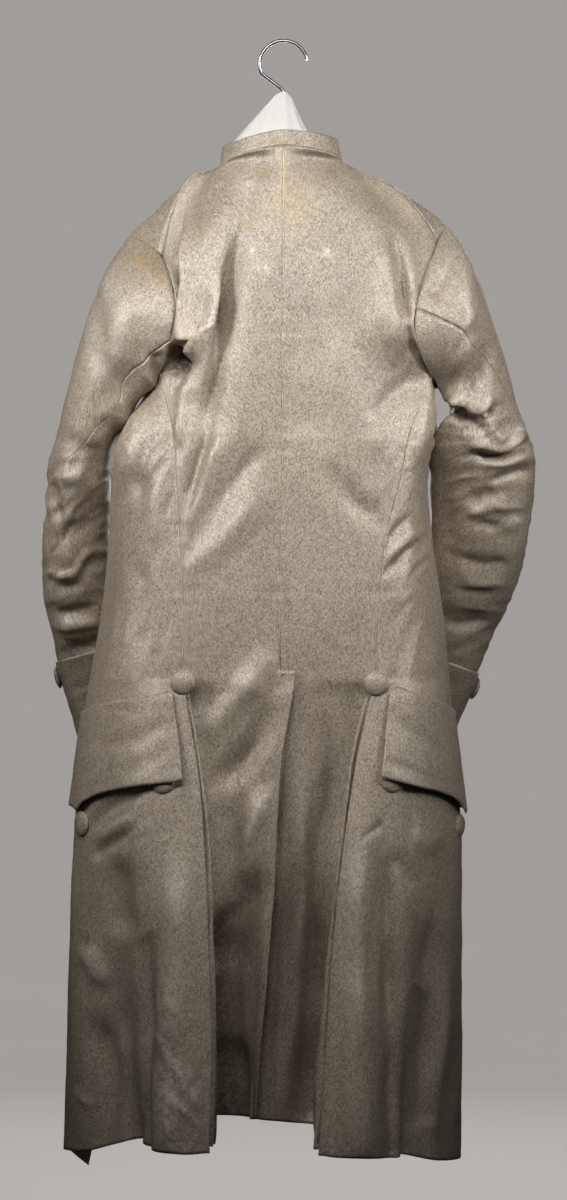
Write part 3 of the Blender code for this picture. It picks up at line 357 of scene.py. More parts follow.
# A button's outline, from the middle of its face round the rim to its back. Columns: share of
# the radius, height
BUTTON_PROFILE = (
    (0, BUTTON_RIM + BUTTON_DOME), (0.3, BUTTON_RIM + 0.93 * BUTTON_DOME),
    (0.6, BUTTON_RIM + 0.70 * BUTTON_DOME), (0.84, BUTTON_RIM + 0.36 * BUTTON_DOME),
    (0.97, BUTTON_RIM), (1.0, 0.6 * BUTTON_RIM), (0.96, 0.25 * BUTTON_RIM),
    (BUTTON_BACK_SHARE, 0), (0.6, -BUTTON_ROOT), (0, -BUTTON_ROOT),
)
BUTTON_RINGS = 28
BUTTON_TURNS = 48
# How uneven its rim is, in shares of the radius, and how deep its face dips
BUTTON_WAVE = 0.012
BUTTON_RIPPLE = 0.008
BUTTON_DENT = 0.35

# Hanger
WIRE_RADIUS = 1.75
HOOK_RADIUS = 24.5
HOOK_END_TURN = 11
HOOK_LEG_TURN = 203
HOOK_LEG = ((-4, 0, -46.5), (-1, 0, -50), (0, 0, -54), (0, 0, -80), (0, 0, -110.3))
HOOK_RING_POINTS = 60
HOOK_LEG_POINTS = 24
# Oval sections of the padding. Columns: x, z_top, half_depth, half_height
PAD = (
    (-132, -192.5, 8, 8), (-122, -178.5, 14, 15), (-104, -164.5, 17, 18), (-80, -145.5, 18, 20),
    (-60, -129.7, 19, 22), (-30, -116.2, 22, 22), (0, -110.7, 24, 22), (30, -116, 22, 22),
    (60, -127.5, 19, 22), (84, -138.5, 18, 20), (108, -151.5, 17, 18), (130, -165.5, 14, 15),
    (144, -177.5, 8, 8),
)
PAD_Y = 2.0
PAD_SECTIONS = 90
PAD_TURNS = 40
PAD_LUMP = 0.03
PAD_LUMP_SIZE = 26
# Rings of the cloth under the hook. Columns: z, x_left, x_right, half_depth, and how far the
# ring drops at its front and back
TENT = (
    (-51.5, -3.6, 3.6, 3.6, 0), (-57, -11, 8, 5.5, 0), (-78, -30, 16.5, 10, 0),
    (-96, -46, 26, 17, 0), (-108, -55, 34, 22, 0), (-113, -56.5, 41, 25, 1),
    (-121.5, -54, 48, 26.8, 6),
)
TENT_Y = 2.0
TENT_RINGS = 60
TENT_TURNS = 120
TENT_FOLD = 0.035
TENT_RIPPLE = 0.03

# Creases: a ridge's height or, below zero, a trough's depth, how far it leans to its right as
# drawn, its half width on its left and on its right, how open its start and its end are, and
# the points that it runs through
GROOVE_PAST_LAP = 1.6
VENT_GROOVE = tuple((GROOVE_PAST_LAP - x_edge, level) for level, x_edge in LAP)
CREASES_BEHIND = {
    "back_left": (
        (-7.0, 2, 14, 8, 0.4, 0, ((-32, -146), (-36, -167), (-41, -193), (-46, -220),
                                  (-53, -244), (-58, -272))),
        (-18.0, 7, 16, 6, 0, 0.1, ((-43, -196), (-49, -224), (-56, -250), (-61, -288),
                                   (-65, -315), (-69, -340), (-74, -368), (-80, -396),
                                   (-86, -415))),
        (6.5, -5, 5, 10, 0, 0, ((-60, -226), (-66, -256), (-71, -285), (-75, -312), (-81, -345),
                                (-92, -382))),
        (-3.0, 0, 6, 6, 0, 0, ((-80, -250), (-85, -290), (-92, -340))),
        (5.0, 3, 6, 3, 0, 0.5, ((-97, -158), (-97, -189), (-99, -214), (-101, -238), (-104, -262))),
        (-10.0, 0, 5, 5, 0, 0.5, ((-107, -218), (-108, -240), (-110, -262), (-114, -284))),
        (4.0, 2, 4, 5, 0.3, 0.6, ((-103, -264), (-106, -280), (-111, -296), (-118, -306))),
        (9.0, 11, 9, 6, 0.9, 0.4, ((-123, -305), (-108, -303), (-95, -303), (-82, -300))),
        (7.0, 7, 5, 6, 0.4, 0, ((-83, -301), (-85, -312), (-89, -324), (-96, -337))),
        (-26.0, 0, 9, 9, 1, 0.2, ((-124, -330), (-112, -331), (-104, -338), (-101, -350))),
        (-6.0, 0, 4, 5, 0.5, 0, ((-104, -317), (-95, -317), (-90, -322))),
        (5.5, 2, 5, 9, 0.5, 0, ((-93, -346), (-98, -376), (-104, -410), (-106, -428))),
        (-6.5, 0, 9, 7, 0, 0.4, ((-70, -374), (-80, -412), (-92, -458), (-101, -502))),
        (5.0, 0, 8, 8, 0, 0.4, ((-60, -392), (-74, -440), (-92, -492), (-100, -520))),
        (-4.5, 0, 13, 11, 0.5, 0, ((-101, -524), (-66, -478), (-30, -430), (-12, -404))),
        (4.0, 0, 10, 12, 0.4, 0, ((-100, -550), (-58, -510), (-14, -452))),
        (7.0, 0, 13, 13, 0.4, 0, ((-20, -640), (-50, -676), (-82, -716))),
        (-9.0, 0, 11, 12, 0.3, 0, ((-10, -668), (-24, -712), (-50, -747), (-68, -776))),
        (8.0, 0, 10, 12, 0, 0, ((-16, -750), (-28, -799), (-40, -836), (-54, -868))),
        (-9.0, 0, 13, 13, 0, 0.6, ((-12, -840), (-36, -878), (-60, -905), (-66, -960))),
        (5.0, 0, 8, 9, 0, 0, ((-34, -920), (-44, -980), (-46, -1050))),
        (-12.0, 0, 20, 22, 0, 1, ((-60, -940), (-62, -1040), (-60, -1110))),
        (-10.0, 0, 18, 20, 0, 1, ((-60, -1010), (-61, -1110))),
        (-18.0, 0, 16, 17, 0, 1, ((-58, -870), (-62, -1000), (-60, -1100))),
    ),
    "back_right": (
        (-3.5, 0, 6, 6, 0.3, 0, ((126, -296), (130, -314), (136, -332))),
        (-10.0, -3, 4, 9, 0, 0.3, ((113, -196), (118, -226), (121, -250), (124, -276),
                                   (129, -300))),
        (4.5, 3, 8, 4, 0.2, 0, ((122, -204), (127, -232), (130, -256), (132, -280))),
        (3.8, 0, 10, 8, 0, 0, ((98, -205), (104, -250), (108, -300), (112, -345))),
        (-2.3, 0, 12, 12, 0, 0, ((72, -200), (76, -290), (66, -380))),
        (1.9, 0, 12, 14, 0, 0, ((50, -190), (54, -300), (50, -420), (40, -520))),
        (-3.5, 0, 9, 9, 0.6, 0, ((126, -352), (106, -372), (90, -400))),
        (2.3, 0, 9, 9, 0.6, 0, ((124, -376), (104, -398), (88, -430))),
        (-4.0, 0, 12, 10, 0.3, 0, ((100, -500), (66, -470), (36, -430))),
        (-5.0, 0, 9, 9, 0, 0, ((36, -680), (48, -750), (50, -830))),
        (-5.0, 0, 3.4, 3.4, 0, 0.6, VENT_GROOVE),
        (5.5, 0, 11, 12, 0, 0.3, ((12, -690), (18, -800), (16, -920), (10, -1060))),
        (-5.0, 0, 9, 9, 0, 0.4, ((0, -840), (0, -940), (-6, -1060))),
        (-5.0, 0, 14, 16, 0, 1, ((36, -930), (31, -1010), (27, -1100))),
        (-13.0, 0, 13, 14, 0, 1, ((42, -840), (36, -960), (28, -1090))),
    ),
    "front_left": (
        (8.0, 0, 22, 22, 0.3, 0, ((-138, -368), (-150, -392), (-160, -420), (-166, -470))),
        (-6.0, 0, 9, 8, 0.5, 0, ((-120, -404), (-140, -430), (-150, -480))),
        (3.2, 0, 8, 9, 0.4, 0, ((-112, -425), (-126, -470), (-132, -530))),
        (-2.6, 0, 10, 10, 0, 0, ((-150, -520), (-140, -580), (-146, -640))),
        (-5.0, 0, 6, 6, 0, 0, ((-203, -813), (-177, -786), (-157, -772), (-128, -762))),
        (4.2, 0, 4, 6, 0, 0, ((-190, -816), (-168, -801), (-148, -787))),
        (-3.6, 0, 6, 5, 0, 0, ((-196, -838), (-170, -818), (-148, -806))),
        (-9.0, 0, 12, 14, 0, 0, ((-158, -826), (-164, -870), (-160, -920))),
        (5.0, 0, 10, 10, 0, 0, ((-206, -920), (-190, -946), (-176, -968))),
        (2.6, 0, 5, 5, 0, 0, ((-150, -914), (-138, -904), (-126, -892))),
        (-9.0, 0, 14, 14, 0, 0.3, ((-196, -985), (-178, -1040), (-172, -1110))),
        (-12.0, 0, 8, 13, 0, 1, ((-137, -880), (-136, -960), (-139, -1040), (-141, -1120))),
        (7.0, 0, 14, 16, 0, 1, ((-104, -800), (-108, -900), (-112, -1000), (-114, -1110))),
        (5.0, 0, 10, 10, 0, 1, ((-158, -990), (-160, -1060), (-158, -1120))),
        (2.2, 0, 2.6, 4, 0.3, 0, ((-119, -1008), (-104, -1034), (-90, -1060), (-77, -1082))),
        (2.0, 0, 2.6, 3, 0.3, 0, ((-128, -998), (-117, -1012), (-112, -1030))),
        (1.8, 0, 2.6, 3, 0, 0.3, ((-114, -1056), (-98, -1074), (-84, -1092))),
        (1.8, 0, 2.6, 3, 0.5, 0, ((-124, -1118), (-112, -1098), (-104, -1086))),
        (1.8, 0, 2.6, 3, 0, 0, ((-217, -1072), (-204, -1082), (-192, -1090))),
    ),
    "front_right": (
        (15.0, 0, 14, 14, 0.6, 0, ((146, -366), (152, -384), (150, -402), (146, -428))),
        (-4.6, 0, 5, 5, 0.6, 0, ((99, -522), (112, -505), (130, -487))),
        (3.5, 0, 4, 5, 0.6, 0, ((99, -535), (116, -520), (136, -500))),
        (-3.2, 0, 5, 5, 0.6, 0, ((99, -546), (112, -538), (132, -518))),
        (-4.3, 0, 6, 6, 0.5, 0, ((122, -398), (134, -408), (148, -412))),
        (2.9, 0, 5, 6, 0.5, 0, ((120, -412), (134, -422), (146, -440))),
        (-2.3, 0, 9, 9, 0, 0, ((112, -570), (120, -610), (118, -650))),
        (-2.8, 0, 3, 3, 0, 0, ((74, -812), (88, -803), (102, -793))),
        (2.4, 0, 12, 12, 0, 0, ((124, -806), (144, -814), (162, -818))),
        (-3.8, 0, 6, 7, 0, 0, ((108, -822), (120, -842), (134, -864))),
        (-11.0, 0, 8, 12, 0, 1, ((100, -800), (107, -900), (111, -1000), (113, -1120))),
        (8.0, 0, 12, 12, 0, 0.6, ((76, -760), (74, -880), (74, -1000), (78, -1110))),
        (2.6, 0, 3, 4, 0, 0, ((122, -950), (138, -960), (154, -972))),
        (-9.0, 0, 12, 12, 0, 0.5, ((150, -880), (146, -980), (140, -1090))),
        (5.0, 0, 8, 9, 0, 0.5, ((166, -930), (160, -1020), (150, -1100))),
    ),
    "sleeve_left": (
        (-3.5, 0, 12, 12, 0.5, 0, ((-168, -246), (-186, -290), (-196, -350))),
        (3.2, 0, 10, 10, 0.3, 0, ((-150, -262), (-160, -310), (-176, -352))),
        (5.0, -6, 9, 11, 0.8, 0, ((-126, -352), (-140, -368), (-157, -386), (-176, -404))),
        (3.5, -2, 7, 7, 0, 0.5, ((-142, -322), (-141, -338), (-136, -354), (-128, -366))),
        (-6.0, 0, 7, 6, 0, 0.3, ((-130, -322), (-130, -336), (-126, -352))),
        (4.3, 0, 8, 6, 0.5, 0, ((-134, -338), (-162, -366), (-200, -398))),
        (-4.8, 0, 12, 10, 0, 0, ((-176, -430), (-204, -420), (-232, -404))),
        (4.3, 0, 10, 10, 0, 0, ((-180, -458), (-208, -452), (-240, -440))),
        (-3.5, 0, 5, 5, 0, 0, ((-243, -446), (-236, -470), (-230, -496))),
        (2.6, 0, 4, 4, 0, 0, ((-248, -452), (-243, -476), (-238, -500))),
        (-4.3, 0, 10, 9, 0, 0, ((-184, -492), (-212, -502), (-240, -520))),
        (4.0, 0, 4, 6, 0.6, 0, ((-240, -545), (-228, -549), (-214, -546), (-205, -528),
                                (-187, -516))),
        (-5.0, 0, 5, 6, 0.6, 0, ((-240, -555), (-226, -559), (-212, -556), (-202, -538),
                                 (-186, -527))),
        (-5.2, 0, 6, 7, 0.5, 0, ((-246, -585), (-220, -588), (-186, -581))),
        (3.8, 0, 6, 6, 0.4, 0, ((-242, -600), (-216, -602), (-184, -594))),
        (-3.5, 0, 7, 7, 0.3, 0, ((-232, -630), (-206, -622), (-180, -612))),
    ),
    "sleeve_right": (
        (-4.6, 0, 6, 6, 0.3, 0, ((166, -236), (158, -254), (147, -274))),
        (2.9, 0, 10, 10, 0, 0, ((196, -262), (188, -310), (176, -352))),
        (-3.2, 0, 10, 10, 0, 0, ((214, -300), (204, -340), (188, -362))),
        (7.0, 7, 7, 4, 0.8, 0.4, ((160, -362), (177, -367), (186, -370), (192, -375),
                                  (197, -379), (204, -374), (211, -370), (219, -371))),
        (-14.0, 0, 5, 10, 0.4, 0, ((170, -379), (180, -380), (189, -386), (197, -391),
                                   (207, -386))),
        (0.0, 20, 20, 18, 0.2, 0.3, ((166, -372), (163, -388), (159, -406), (156, -426),
                                     (152, -450))),
        (-7.0, 0, 9, 9, 0.6, 0.3, ((168, -400), (166, -440), (166, -490), (168, -530))),
        (-6.5, 0, 4, 5, 0, 0, ((203, -376), (208, -382), (215, -387))),
        (4.9, 0, 3, 3, 0, 0, ((201, -381), (207, -393), (215, -404), (223, -411), (234, -416))),
        (6.0, 5, 4, 5, 0, 0.3, ((186, -419), (194, -416), (204, -414), (215, -417), (226, -419),
                                (235, -415), (241, -408), (245, -398))),
        (-8.0, 0, 5, 5, 0, 0.5, ((186, -429), (199, -427), (211, -428), (223, -427), (234, -422),
                                 (245, -416), (255, -412))),
        (4.6, 0, 4, 4, 0, 0.5, ((200, -435), (217, -436), (232, -434), (243, -429), (256, -427))),
        (-5.5, 0, 6, 5, 0, 0.5, ((208, -456), (221, -450), (234, -446), (247, -442), (256, -441))),
        (-4.6, 0, 9, 9, 0, 0, ((186, -476), (202, -470), (219, -462))),
        (3.5, 0, 7, 7, 0, 0, ((180, -490), (204, -484), (236, -470))),
        (-3.5, 0, 5, 6, 0, 0, ((180, -486), (202, -494), (226, -500))),
        (-4.1, 0, 6, 6, 0.3, 0.2, ((178, -531), (206, -537), (240, -536))),
        (2.9, 0, 6, 6, 0, 0, ((176, -548), (202, -556), (232, -552))),
        (-3.2, 0, 7, 7, 0, 0, ((160, -590), (186, -598), (214, -590))),
    ),
    "flap_left": (
        (2.3, 0, 7, 7, 0.4, 0, ((-186, -790), (-150, -762), (-120, -740))),
        (-1.7, 0, 8, 8, 0, 0.3, ((-200, -720), (-150, -715), (-108, -690))),
    ),
    "flap_right": (
        (2.2, 0, 7, 7, 0, 0.4, ((96, -745), (130, -760), (170, -790))),
        (-1.7, 0, 8, 8, 0.3, 0, ((106, -690), (140, -715), (170, -722))),
    ),
}
# The same for what faces the front, where x is still the coat's own
CREASES_BEFORE = {
    "front_left": (
        (-4.0, 0, 10, 8, 0.6, 0, ((-130, -290), (-104, -330), (-84, -380), (-76, -430))),
        (4.9, 0, 9, 9, 0.5, 0, ((-124, -262), (-92, -304), (-72, -350))),
        (-3.5, 0, 11, 10, 0.3, 0, ((-60, -205), (-72, -260), (-66, -320))),
        (3.5, 0, 9, 9, 0.4, 0, ((-140, -360), (-118, -410), (-106, -480))),
        (-2.9, 0, 10, 10, 0, 0, ((-100, -500), (-84, -560), (-92, -630))),
        (2.6, 0, 10, 10, 0, 0, ((-120, -560), (-108, -640), (-124, -700))),
        (-3.5, 0, 10, 10, 0, 0, ((-130, -820), (-164, -900), (-186, -990))),
        (2.9, 0, 9, 9, 0, 0, ((-160, -830), (-186, -920), (-200, -1020))),
    ),
    "front_right": (
        (-5.2, 0, 9, 9, 0.6, 0, ((148, -300), (116, -336), (90, -392), (84, -440))),
        (4.3, 0, 9, 9, 0.5, 0, ((140, -270), (104, -312), (80, -360))),
        (-3.2, 0, 10, 10, 0.3, 0, ((70, -200), (82, -262), (74, -330))),
        (3.2, 0, 9, 9, 0.4, 0, ((134, -380), (112, -440), (104, -500))),
        (-2.9, 0, 10, 10, 0, 0, ((96, -520), (86, -580), (98, -640))),
        (-3.2, 0, 10, 10, 0, 0, ((128, -820), (150, -900), (160, -1000))),
        (2.6, 0, 9, 9, 0, 0, ((146, -850), (166, -940), (172, -1040))),
    ),
    "sleeve_left": (
        (-4.3, 0, 10, 9, 0.5, 0, ((-150, -300), (-172, -350), (-186, -400))),
        (-4.5, 0, 9, 8, 0.3, 0, ((-180, -440), (-206, -428), (-236, -410))),
        (4.6, 0, 9, 8, 0.3, 0, ((-182, -466), (-210, -452), (-242, -440))),
        (-4.2, 0, 8, 9, 0.3, 0, ((-184, -496), (-214, -484), (-246, -476))),
        (4.3, 0, 7, 7, 0, 0, ((-186, -526), (-216, -520), (-248, -524))),
        (-4.1, 0, 7, 7, 0, 0, ((-184, -562), (-214, -570), (-246, -566))),
        (-3.2, 0, 7, 7, 0, 0, ((-176, -602), (-206, -612), (-238, -610))),
    ),
    "sleeve_right": (
        (0.0, 20, 20, 18, 0.2, 0.3, ((166, -372), (163, -388), (159, -406), (156, -426),
                                     (152, -450))),
        (-4.3, 0, 10, 9, 0.5, 0, ((160, -296), (180, -346), (196, -392))),
        (-4.8, 0, 8, 8, 0.3, 0, ((164, -432), (200, -426), (246, -412))),
        (4.9, 0, 8, 8, 0.3, 0, ((162, -454), (204, -450), (252, -440))),
        (-4.0, 0, 8, 8, 0.3, 0, ((160, -486), (200, -480), (250, -474))),
        (4.1, 0, 7, 7, 0, 0, ((158, -520), (196, -514), (240, -520))),
        (-3.8, 0, 7, 7, 0, 0, ((152, -556), (190, -562), (228, -560))),
        (-3.2, 0, 7, 7, 0, 0, ((146, -594), (176, -606), (212, -600))),
    ),
}
# Crumpled places. Columns: x, z, x_reach, z_reach, the turn of their folds in degrees from
# level, their height, and how far apart and how long they are
CRUMPLES = {
    "sleeve_left": (
        (-222, -455, 40, 36, 35, 2.6, 11, 40), (-232, -500, 22, 50, 70, 2.2, 8, 30),
        (-205, -520, 40, 60, 20, 2.4, 13, 50), (-195, -600, 50, 50, -12, 1.8, 12, 45),
        (-160, -340, 30, 40, -50, 1.2, 12, 50), (-205, -330, 40, 60, 60, 1.2, 16, 60),
    ),
    "sleeve_right": (
        (215, -410, 44, 40, 12, 2.4, 10, 34), (210, -470, 44, 40, 18, 2.8, 12, 44),
        (238, -480, 20, 60, 75, 1.8, 9, 34), (200, -545, 50, 50, -8, 2.2, 13, 48),
        (180, -320, 36, 50, 55, 1.6, 12, 44), (180, -620, 50, 44, 10, 1.8, 12, 44),
    ),
    "back_left": (
        (-80, -410, 40, 70, 62, 1.8, 15, 70), (-110, -330, 22, 30, 20, 2.0, 9, 24),
        (-60, -480, 44, 60, 52, 1.3, 18, 90), (-45, -760, 40, 90, 62, 1.6, 17, 90),
        (-30, -170, 60, 40, 80, 0.8, 12, 40), (-40, -960, 40, 120, 80, 1.6, 16, 110),
    ),
    "back_right": (
        (120, -300, 20, 60, 75, 1.8, 10, 40), (112, -440, 26, 60, 55, 1.6, 11, 40),
        (60, -300, 60, 120, 86, 0.7, 16, 120), (24, -760, 36, 90, 78, 1.5, 15, 90),
        (70, -170, 50, 30, 60, 0.9, 14, 40), (10, -960, 40, 120, 84, 1.5, 16, 110),
    ),
    "front_left": (
        (-140, -450, 40, 70, 60, 2.0, 15, 70), (-140, -590, 50, 60, 72, 1.4, 16, 70),
        (-165, -800, 50, 40, 35, 1.8, 14, 60), (-120, -1060, 60, 90, 60, 1.6, 14, 70),
        (-175, -960, 50, 120, 84, 1.6, 17, 120),
    ),
    "front_right": (
        (120, -520, 30, 60, 38, 2.4, 11, 44), (130, -420, 30, 40, 20, 1.8, 11, 40),
        (130, -610, 40, 50, 70, 1.2, 14, 60), (110, -930, 60, 160, 84, 1.7, 16, 120),
        (160, -980, 40, 140, 80, 1.5, 15, 110),
    ),
    "flap_left": ((-145, -760, 50, 40, 30, 1.3, 14, 50),),
    "flap_right": ((135, -750, 50, 40, -24, 1.3, 14, 50),),
    "cuff_left": ((-190, -670, 50, 50, 12, 1.2, 14, 50),),
    "cuff_right": ((160, -670, 50, 50, -10, 1.2, 14, 50),),
}
# Stains, rubbed and soiled places seen from behind, and two places of painted shade. Columns: kind,
# x, z, x_reach, z_reach, depth
MARKS = (
    # Painted shade: these first two dark marks lie in the pit and along the trough by the left
    # armhole
    ("dark", -108, -338, 10, 13, 0.9), ("dark", -111, -262, 4, 22, 0.5),
    ("pale", -98, -1048, 26, 40, 0.3), ("pale", -206, -1080, 12, 8, 0.3),
    ("yellow", 0, -134, 4, 20, 1.0), ("yellow", -4, -178, 26, 24, 0.55),
    ("yellow", -20, -140, 14, 9, 0.5),
    ("yellow", 14, -170, 16, 22, 0.45), ("yellow", -34, -190, 14, 12, 0.35),
    ("yellow", -84, -200, 12, 12, 0.35), ("yellow", 22, -209, 18, 9, 0.35),
    ("yellow", -143, -229, 15, 13, 0.8), ("yellow", -124, -249, 7, 9, 1.0),
    ("yellow", -150, -205, 10, 8, 0.4), ("yellow", 40, -150, 12, 10, 0.3),
    ("pale", -31, -223, 3, 8, 0.9), ("pale", -21, -242, 7, 5, 0.8), ("pale", 43, -226, 5, 5, 0.8),
    ("pale", -40, -152, 13, 9, 0.5), ("pale", 34, -160, 40, 26, 0.25),
    ("pale", -196, -285, 22, 60, 0.35), ("pale", 26, -404, 15, 9, 0.45),
    ("pale", 8, -412, 5, 12, 0.3),
    ("pale", 240, -487, 9, 24, 0.4), ("pale", 176, -240, 26, 40, 0.3),
    ("pale", -74, -300, 12, 60, 0.2),
    ("dark", -53, -551, 4, 4, 0.6), ("dark", 68, -454, 6, 10, 0.4), ("dark", -201, -919, 4, 5, 0.8),
    ("dark", -197, -925, 3, 3, 0.6), ("dark", 48, -140, 3, 4, 0.5), ("dark", -196, -414, 8, 6, 0.4),
    ("dark", -12, -560, 20, 46, 0.2), ("dark", 10, -640, 20, 30, 0.15),
    ("dark", 4, -600, 3, 60, 0.3),
)
MARK_KINDS = ("pale", "yellow", "dark")
# How much a ridge pales per millimetre of its height: rubbed wear and a painted highlight
RUB_AND_HIGHLIGHT_OF_RIDGE = 0.05
# How much a trough darkens per millimetre of its depth: painted shade
SHADE_OF_TROUGH = 0.02
# Creases: steps between two of their points, the share over which they taper, how far from
# their line they reach in half widths, how their height varies along them, and a distance for
# points that none of them reaches
CREASE_STEPS = 7
CREASE_TAPER = 0.3
CREASE_REACH = 3.2
CREASE_UNEVEN = 0.22
CREASE_WAVE = 17.0
CREASE_PHASE = 2.4
NOWHERE = 1e9
# Crumples: how steeply their edge fades, the least share that counts, how far apart two rows'
# noise lies, and their level and depth in heights
CRUMPLE_FADE = 2.4
CRUMPLE_LEAST = 0.01
CRUMPLE_APART = 7
CRUMPLE_LEVEL = 0.45
CRUMPLE_DEPTH = 2


def smooth(knots, values, places):
    """A smooth curve through the values at their knots, read at each place."""
    knots = np.asarray(knots, float)
    values = np.asarray(values, float)
    places = np.clip(np.asarray(places, float), knots.min(), knots.max())
    slopes = np.gradient(values, knots, axis=0)
    index = np.clip(np.searchsorted(knots, places, side="right") - 1, 0, len(knots) - 2)
    shape = (-1,) + (1,) * (values.ndim - 1)
    span = (knots[index + 1] - knots[index]).reshape(shape)
    t = (places - knots[index]).reshape(shape) / span
    return hermite(values[index], values[index + 1],
                   slopes[index] * span, slopes[index + 1] * span, t)


def hermite(start, end, start_run, end_run, t):
    """Points on a smooth run from start to end."""
    return (start * (1 + 2 * t) * (1 - t) ** 2 + start_run * t * (1 - t) ** 2
            + end * t * t * (3 - 2 * t) - end_run * t * t * (1 - t))


def across(points, places):
    """Points along a section, read at places counted in steps of its own points."""
    return smooth(range(len(points)), points, places)


def at_levels(levels, rows, wanted):
    """Rows of points read at the wanted levels, with a smooth run between the rows."""
    return smooth([-level for level in levels], rows, [-level for level in wanted])


def seam_rise(t):
    """How a shoulder line stands over the straight run from neck to armhole, from 0 to 1."""
    return t ** SHOULDER_RISE_POWER * (1 - t)


def shoulder_line(side, shares):
    """Points of the shoulder seam, from the neck to the armhole."""
    size = dict(zip(SHOULDER_COLUMNS, FRONT_SHOULDER[side][0]))
    return shoulder_run(size, shares)


def shoulder_run(size, shares):
    """A front's run from its edge to the armhole, with its bow and its lift."""
    edge = np.array([size["x_edge"], size["y_edge"], size["z_edge"]], float)
    end = np.array([size["x_end"], size["y_end"], size["z_end"]], float)
    run = end - edge
    outward = np.array([-run[1], run[0], 0]) / math.hypot(run[0], run[1])
    t = np.asarray(shares, float).reshape(-1, 1)
    return (edge + run * t + outward * size["bow"] * 4 * t * (1 - t)
            + np.array([0, 0, size["lift"]]) * seam_rise(t))


def shoulder_row(row, places):
    """A front's section above the underarm."""
    steps = np.interp(places, range(len(GIRTH_STEPS)), GIRTH_STEPS)
    return shoulder_run(dict(zip(SHOULDER_COLUMNS, row)), steps)


def side_row(row, places):
    """A front's section below the underarm, with a rounded turn from the side to the seam."""
    size = dict(zip(SIDE_COLUMNS, row))
    level = size["level"]
    points = [(size["x_" + name], size["y_" + name], level)
              for name in ("edge", "front", "corner", "side")]
    for turn in CORNER_TURNS:
        angle = math.radians(turn)
        x = size["x_end"] + (size["x_side"] - size["x_end"]) * math.cos(angle) ** ROUNDNESS
        y = size["y_side"] + (size["y_end"] - size["y_side"]) * math.sin(angle) ** ROUNDNESS
        points.append((x, y, level))
    return across(points, places)


def hem_height(level, z_hem):
    """Height of a skirt point at a level, on its way from the pleat's top to its own hem."""
    return PLEAT_TOP + (level - PLEAT_TOP) / (HEM - PLEAT_TOP) * (z_hem - PLEAT_TOP)


def side_seam(side, level, foot):
    """The side-back seam at a level of a panel whose own armhole foot is at another level."""
    ends = [row[7:10] for row in BACK_BODY[side] if row[0] <= BACK_ARMHOLE_FOOT]
    heights = [end[2] for end in ends]
    share = np.clip((foot - level) / (foot - SIDE_SEAM_JOIN), 0, 1)
    z = level if share == 1 else heights[0] + (SIDE_SEAM_JOIN - heights[0]) * share
    return at_levels(heights, ends, [max(z, HIP)])[0]


def on_side_seam(side, grid, levels, foot):
    """A panel's points with its last column laid on the side-back seam, down to the hip."""
    for row, level in zip(grid, levels):
        if HIP <= level <= foot:
            shift = side_seam(side, level, foot) - row[-1]
            near = np.linspace(0, 1, len(row)).reshape(-1, 1) ** SEAM_PULL_POWER
            row += shift * near
    return grid


def pleat(side, level):
    """The folds of one side's pleat at a level: points in plan and the two directions."""
    table = PLEATS[side]
    levels = [row[0] for row in table]
    size = dict(zip(PLEAT_COLUMNS, at_levels(levels, table, [level])[0]))
    angle = math.radians(size["angle"])
    inward = np.array([math.cos(angle), math.sin(angle)])
    under = np.array([-math.sin(angle), math.cos(angle)])
    outer = np.array([size["x_outer"], size["y_outer"]])
    slide = (size["x_inner"] - size["x_outer"] + LAYER_STEP * math.sin(angle)) / math.cos(angle)
    inner = outer + inward * slide + under * LAYER_STEP
    seam = outer + inward * size["reach"] + under * FOLD_RADIUS
    root = outer + inward * (size["reach"] + 1) + under * (LAYER_STEP + FOLD_RADIUS + ROOT_DROP)
    return {"outer": outer, "inner": inner, "seam": seam, "root": root,
            "inward": inward, "under": under}


def with_height(side, level, fold, plan):
    """A pleat's plan point at its height."""
    return (plan[0], plan[1], hem_height(level, PLEAT_HEM[side][fold]))


def fold_turn(centre, inward, under, turns):
    """Plan points round a pressed fold, at turns in degrees from the inward direction."""
    return [centre + FOLD_RADIUS * (inward * math.cos(math.radians(turn))
                                    + under * math.sin(math.radians(turn))) for turn in turns]


FOLD_TURNS = tuple(range(-90, -271, -18))
LAYER_SHARES = tuple(np.linspace(0, 1, 15)[1:])


def front_pleat_start(side, level):
    """Where a side skirt reaches its outer fold."""
    folds = pleat(side, level)
    centre = folds["outer"] + folds["inward"] * FOLD_RADIUS
    return with_height(side, level, "outer", centre - folds["under"] * FOLD_RADIUS)


def front_pleat(side, level):
    """The front's pleat layer, from the outer fold inward to the seam that joins the back."""
    folds = pleat(side, level)
    centre = folds["outer"] + folds["inward"] * FOLD_RADIUS
    turn = fold_turn(centre, folds["inward"], folds["under"], FOLD_TURNS[1:])
    points = [with_height(side, level, "outer", point) for point in turn]
    start, end = np.array(points[-1]), np.array(with_height(side, level, "seam", folds["seam"]))
    return points + [start + (end - start) * t for t in LAYER_SHARES]


def back_pleat(side, level):
    """The back's pleat layers, from the root out to the inner fold and back to the seam."""
    folds = pleat(side, level)
    centre = folds["inner"] + folds["inward"] * FOLD_RADIUS
    turn = fold_turn(centre, folds["inward"], folds["under"], FOLD_TURNS[::-1])
    points = [with_height(side, level, "inner", point) for point in turn]
    root = np.array(with_height(side, level, "root", folds["root"]))
    end = np.array(with_height(side, level, "seam", folds["seam"] + folds["under"]))
    first, last = np.array(points[0]), np.array(points[-1])
    from_ends = min(PLEAT_TOP - level, level - LAYER_SAG_END) / LAYER_SAG_RUN
    sag = np.append(folds["under"], 0) * np.clip(from_ends, 0, 1)
    dips = [math.sqrt(abs(math.sin(math.pi * t))) for t in LAYER_SHARES]
    behind = [root + (first - root) * t + sag * ROOT_SAG * dip
              for t, dip in zip(LAYER_SHARES, dips)]
    before = [last + (end - last) * t + sag * LAYER_SAG * dip
              for t, dip in zip(LAYER_SHARES, dips)]
    return behind[:-1] + points + before


